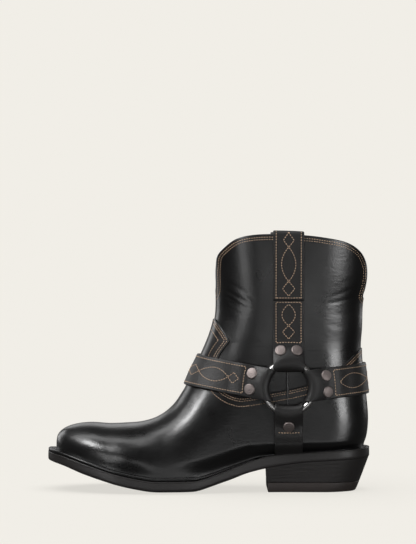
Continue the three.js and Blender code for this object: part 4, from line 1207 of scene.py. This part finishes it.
def heel_block(levels):
    """The heel between levels, each with the height of its outline, its inset and the height
    over its plan points."""
    loops = []
    for level, inset, rise in levels:
        loop = heel_loop(level, inset)
        loops.append(np.column_stack([loop, rise(loop[:, 0])]))
    count = len(loops[0])
    faces = grid_faces(len(loops), count, closed=True)
    for row, turned in ((0, True), (len(loops) - 1, False)):
        for k in range((count + 1) // 2 - 1):
            other = count - 1 - k
            face = tuple(dict.fromkeys(row * count + i for i in (k, k + 1, other - 1, other)))
            faces.append(face if turned else tuple(reversed(face)))
    return oriented(*weld(np.vstack(loops), faces))


def heel_levels(lifts=5, join=0.012):
    """Leather lifts, with shallow grooves between them."""
    bottom, middle = TOP_LIFT + GAP, float(sole_bottom(HEEL_TIP - HEEL_MIDDLE))
    levels = []
    for k in range(lifts):
        a, b = k / lifts, (k + 1) / lifts
        for part, inset in ((a, 0.035), (a + join, 0.02), (b - join, 0.02), (b, 0.035)):
            levels.append((lerp(bottom, middle, part), inset,
                           lambda x, part=part: lerp(bottom, sole_bottom(x) - 0.02, part)))
    return levels


add_mesh("heel_stack", *heel_block(heel_levels()), sole_edge, "sole", ["heel_stack"], sharp=60)
LIFT_WALL = [(0.0, 1.0, 0.0), (0.0, 0.3, 0.3), (0.6, 0.05, 0.9), (4.0, 0.0, 4.0), (7.7, 0.05, 7.7),
             (8.3, 0.25, 8.3), (TOP_LIFT, 0.6, TOP_LIFT)]
lift_levels = [(level, inset, lambda x, z=z: np.full_like(x, z)) for level, inset, z in LIFT_WALL]
add_mesh("top_lift", *heel_block(lift_levels), top_rubber, "top_lift", ["top_lift"], sharp=60)

# Stitches


# One stitch from end to end: share of its length, of its radius, and of the radius it is lifted.
STITCH_SHAPE = [(0.0, 0.25, -0.5), (0.12, 0.8, 0.0), (0.5, 1.0, 0.35), (0.88, 0.8, 0.0), (1.0, 0.25, -0.5)]


def stitches(path, normals, pitch=STITCH_PITCH, radius=STITCH_RADIUS, fill=0.68, sunk=0.06, around=6):
    """Rounded thread stitches along a path of points."""
    arc = np.concatenate([[0], np.cumsum(np.linalg.norm(np.diff(path, axis=0), axis=1))])
    number = max(1, int(round(arc[-1] / pitch)))
    size = arc[-1] / number
    middle = (np.arange(number) + 0.5) * size

    def at(where, values):
        return np.stack([np.interp(where, arc, values[:, k]) for k in range(3)], 1)

    start, end = at(middle - size * fill / 2, path), at(middle + size * fill / 2, path)
    up = unit(at(middle, normals))
    axis = end - start
    across = unit(np.cross(up, axis))
    points = []
    for t, wide, lift in STITCH_SHAPE:
        for turn in np.arange(around) / around * 2 * math.pi:
            points.append(start + axis * t + across * radius * wide * math.cos(turn)
                          + up * (radius * (wide * math.sin(turn) + lift) - sunk))
    template = tube_faces(len(STITCH_SHAPE), around)
    faces = [tuple(i + n * len(points) for i in face) for n in range(number) for face in template]
    return np.stack(points, 1).reshape(-1, 3), faces


def lens(start, end, wide, kind, count=60):
    """The two halves of an oval or a diamond between two places along a strap."""
    t = np.linspace(0, 1, count)
    bulge = np.sin(t * math.pi) ** 0.8 if kind == "oval" else 1 - np.abs(2 * t - 1)
    along = lerp(start, end, t)
    return [(along, wide * bulge), (along, -wide * bulge)]


ORNAMENT = {
    "front": [(43.2, 52.8, 4.8, "diamond"), (52.8, 76.6, 6.0, "oval"), (76.6, 85.0, 4.8, "diamond")],
    "rear": [(43.4, 66.9, 6.4, "oval")],
    "hanger": [(42.2, 54.2, 5.4, "diamond"), (54.2, 72.5, 5.8, "oval")],
    "pull": [(171.6, 184.6, 5.5, "diamond"), (184.6, 213.9, 6.2, "oval"), (213.9, 226.5, 4.7, "diamond")]}
thread = []


def row_stitches(data, row, b):
    """Stitches along a strap over a path of rows and places across."""
    row, b = np.broadcast_arrays(np.asarray(row, float), np.asarray(b, float))
    thread.append(stitches(*sheet_point(data, row, b)))


def edge_stitches(data, rows, edge):
    """A row of stitches along each edge of a strap."""
    for sign in (-1, 1):
        row_stitches(data, rows, np.full(len(rows), sign * edge))


def cross_stitches(data, row, edge):
    """A row of stitches across a strap."""
    row_stitches(data, float(row), np.linspace(-edge, edge, 30))


def ornament(strap, data, row_at):
    """The ovals and diamonds along a strap. row_at gives the rows of places along it."""
    for piece in ORNAMENT[strap]:
        for along, b in lens(*piece):
            for rows in row_at(along):
                row_stitches(data, rows, b)


for strap in ("front", "rear"):
    data = SHEETS[strap]
    count = len(data["r"])
    first = float(row_of(strap, -1, ACROSS_ROW))
    edge_stitches(data, np.linspace(first, count - 1 - first, 320), WIDTHS[strap] / 2 - EDGE_ROW)
    ornament(strap, data, lambda r, strap=strap: [row_of(strap, side, r) for side in (-1, 1)])
    # The last oval or diamond spans the boot's middle, from one side's ornament to the other's.
    start = float(row_of(strap, -1, ORNAMENT[strap][-1][1]))
    arc = arc_rows(data)
    first, last = np.interp([start, count - 1 - start], np.arange(count), arc)
    for along, b in lens(first, last, MIDDLE_WIDE, "oval" if last - first > MIDDLE_OVAL else "diamond"):
        row_stitches(data, np.interp(along, arc, np.arange(count)), b)
for side in (-1, 1):
    for strap in ("front", "rear", "hanger", "lower"):
        cross_stitches(sheet_of(strap, side), row_of(strap, side, ACROSS_ROW), WIDTHS[strap] / 2 - EDGE_ROW)
    edge = VERTICAL_WIDTH / 2 - EDGE_ROW
    hanger, pull = SHEETS["hanger", side], SHEETS["pull", side]
    hanger_ends = (ACROSS_ROW, STRAP_SEAM_UP - RING_UP - SEAM_ROW)
    first, last = [float(row_of("hanger", side, r)) for r in hanger_ends]
    edge_stitches(hanger, np.linspace(first, last, 60), edge)
    cross_stitches(hanger, last, edge)
    ornament("hanger", hanger, lambda r: [row_of("hanger", side, r)])
    rising = pull["r"][:PULL_UP + PULL_TURN // 2, pull["r"].shape[1] // 2]

    def pull_rows(z):
        return np.interp(z, rising, np.arange(len(rising)))

    edge_stitches(pull, pull_rows(np.linspace(*PULL_STITCHED, 90)), edge)
    cross_stitches(pull, pull_rows(PULL_CROSS), edge)
    ornament("pull", pull, lambda z: [pull_rows(z)])
add_mesh("strap_stitches", *joined(thread), thread_tan, "strap_leather")


# The front line without its turn round the toe.
RISING_FRONT = FRONT_CURVE[60:]


def runs(keep, shortest=7):
    """Start and end of each run of kept points, short ones left out."""
    edges = np.flatnonzero(np.diff(np.concatenate([[0], keep.astype(int), [0]])))
    return [(a, b) for a, b in zip(edges[::2], edges[1::2]) if b - a >= shortest]


def boot_stitches(line, side, lift, keep):
    """Stitches on the boot along a side-view line, where the boot is under it."""
    x, z = line.T
    front = np.interp(z, RISING_FRONT[:, 1], RISING_FRONT[:, 0])
    inside = (BASE.half_width(x, z, side) > CENTRE_ROOM) & (x > front + 0.5) & keep
    return [stitches(*crease_point(x[a:b], z[a:b], side, lift), pitch=SEAM_PITCH, radius=SEAM_RADIUS)
            for a, b in runs(inside)]


seams = []
fine_collar = smooth_line(COLLAR_LINE, 30)
stretches = [lerp(topline_points[k], topline_points[k + 1], np.linspace(0, 1, 30)[:, None]) for k in (0, 1)]
tongue = np.vstack([*stretches, smooth_line(side_rows, 30)])
for side in (-1, 1):
    for distance in COLLAR_ROWS:
        line = offset_line(fine_collar, distance)
        seams += boot_stitches(line, side, 0.0, np.abs(line[:, 0] - RING_X) > VERTICAL_WIDTH / 2 - 1)
    for distance, room in TOPLINE_ROWS:
        line = offset_line(tongue, distance)
        inside = topline_field(np.insert(line, 1, 0, axis=1)) > room
        seams += boot_stitches(line, side, OVERLAY, inside)
add_mesh("boot_stitches", *joined(seams), thread_tan, "upper_leather")


def seam_strip(side, low=66, high=118, wide=1.0, thick=1.7, count=60):
    """The raised side seam of the shaft, down through the ring."""
    lanes = np.linspace(-1, 1, 9)
    levels = np.linspace(low, high, count)[:, None]
    x, z = np.broadcast_arrays(RING_X - SEAM_BACK + lanes[None] * wide, levels)
    top = thick * np.sqrt(np.maximum(0, 1 - lanes ** 2)) - SEAM_SUNK
    over, _ = crease_point(x, z, side, top[None] + OVERLAY / 2 + 0 * x)
    under, _ = crease_point(x, z, side, 0 * x - 2 * SEAM_SUNK)
    return tube(np.concatenate([over, under[:, ::-1]], 1))


add_mesh("side_seam", *joined([seam_strip(side) for side in (-1, 1)]), upper_leather, "upper_leather")

# Stage, lights and camera


PAPER = (0.879, 0.855, 0.799)
AMBIENT = 0.06
# How much of the paper takes light near the boot, and the distances over which that fades.
SHADED = 0.22
SHADED_REACH = (0.2, 0.7)
# Softboxes: name, width and height, watts, place and target, in metres.
SOFTBOXES = [
    ("overhead", (0.8, 0.5), 4, (0.1, -0.2, 1.4), (0, 0.0, 0.1)),
    ("left_strip", (0.4, 1.1), 5, (-0.8, -0.08, 1.22), (-0.05, 0.0, 0.05)),
    ("toe_box", (0.38, 0.5), 14, (-1.0, -0.62, 1.06), (-0.1, 0.0, 0.04)),
    ("counter_box", (0.55, 0.22), 5.5, (1.08, -1.18, 0.2), (0.11, 0.0, 0.07)),
    ("right_glow", (0.9, 0.35), 0.7, (1.0, -1.15, -0.1), (0.1, 0.0, 0.15)),
    ("left_glow", (0.35, 0.6), 2.3, (-0.9, -1.15, 0.1), (0.03, 0.0, 0.15)),
    ("front_low", (1.5, 0.4), 2.8, (0.1, -2.1, -0.17), (0.05, 0.0, 0.17)),
    ("back_box", (0.9, 0.6), 2, (-0.2, 1.4, 0.75), (-0.07, 0.0, 0.05)),
    ("medial_left", (0.6, 0.8), 3, (-1.1, 1.1, 0.5), (0.0, 0.0, 0.12)),
    ("medial_right", (0.6, 0.8), 3, (1.1, 1.1, 0.5), (0.0, 0.0, 0.12))]


def area(name, size, power, where, target):
    """A softbox that points at a place and lights only the boot."""
    light = bpy.data.lights.new(name, "AREA")
    light.shape = "RECTANGLE"
    light.size, light.size_y = size
    light.energy = power
    lamp = linked(name, light)
    lamp.location = where
    lamp.rotation_euler = (Vector(target) - Vector(where)).to_track_quat("-Z", "Y").to_euler()
    lamp.light_linking.receiver_collection = off_paper
    return lamp


def cyclorama(flat=2.6, radius=0.9, high=4.6, around=72):
    """Round floor that sweeps up into the background. Near the boot it takes its shadow."""
    bend = np.linspace(0, math.pi / 2, 24)[1:]
    line = [(0.02, 0.0), (0.3, 0.0), (flat, 0.0)]
    line += [(flat + radius * math.sin(t), radius * (1 - math.cos(t))) for t in bend]
    line += [(flat + radius, high)]
    turns = np.arange(around) / around * 2 * math.pi
    points = [(r * math.cos(t), r * math.sin(t), z) for r, z in line for t in turns]
    faces = grid_faces(len(line), around, closed=True) + [tuple(range(around))[::-1]]
    mesh = bpy.data.meshes.new("cyclorama")
    mesh.from_pydata(points, [], faces)
    mesh.polygons.foreach_set("use_smooth", [True] * len(faces))
    paper, tree, shader = material_of("paper", PAPER, 1.0, specular=0.0)
    glow = new_node(tree, "Emission", {"Color": (*PAPER, 1)})
    distance = new_node(tree, "VectorMath")
    distance.operation = "LENGTH"
    tree.links.new(new_node(tree, "TexCoord").outputs["Object"], distance.inputs[0])
    near = remap(tree, distance.outputs["Value"], SHADED, 0.0, *SHADED_REACH)
    near.interpolation_type = "SMOOTHSTEP"
    mixed = new_node(tree, "MixShader")
    tree.links.new(near.outputs["Result"], mixed.inputs["Fac"])
    tree.links.new(glow.outputs["Emission"], mixed.inputs[1])
    tree.links.new(shader.outputs["BSDF"], mixed.inputs[2])
    tree.links.new(mixed.outputs["Shader"], tree.nodes["Material Output"].inputs["Surface"])
    mesh.materials.append(paper)
    floor = linked("cyclorama", mesh)
    floor.visible_glossy = floor.visible_diffuse = floor.visible_shadow = False
    return floor


paper_sweep = cyclorama()
on_paper = bpy.data.collections.new("on_paper")
on_paper.objects.link(paper_sweep)
off_paper = bpy.data.collections.new("off_paper")
off_paper.objects.link(paper_sweep)
off_paper.collection_objects[0].light_linking.link_state = "EXCLUDE"
sun = bpy.data.lights.new("floor_sun", "SUN")
sun.energy = math.pi * (1 - AMBIENT)
sun.angle = math.radians(75)
sun_lamp = linked("floor_sun", sun)
sun_lamp.location = (0, 0, 2)
sun_lamp.light_linking.receiver_collection = on_paper
softboxes = [area(*softbox) for softbox in SOFTBOXES]

camera_data = bpy.data.cameras.new("camera")
camera_data.lens = 141.6
camera_data.sensor_width = 36
camera = linked("camera", camera_data)
camera.location = (-0.00044, -1.9, 0.1925)
camera.rotation_euler = (math.pi / 2, 0, 0)
bpy.context.scene.camera = camera
world = bpy.data.worlds.new("studio")
world.use_nodes = True
background = world.node_tree.nodes["Background"]
background.inputs["Color"].default_value = (1.0, 0.985, 0.95, 1)
background.inputs["Strength"].default_value = AMBIENT
bpy.context.scene.world = world
bpy.context.scene.view_settings.view_transform = "Standard"
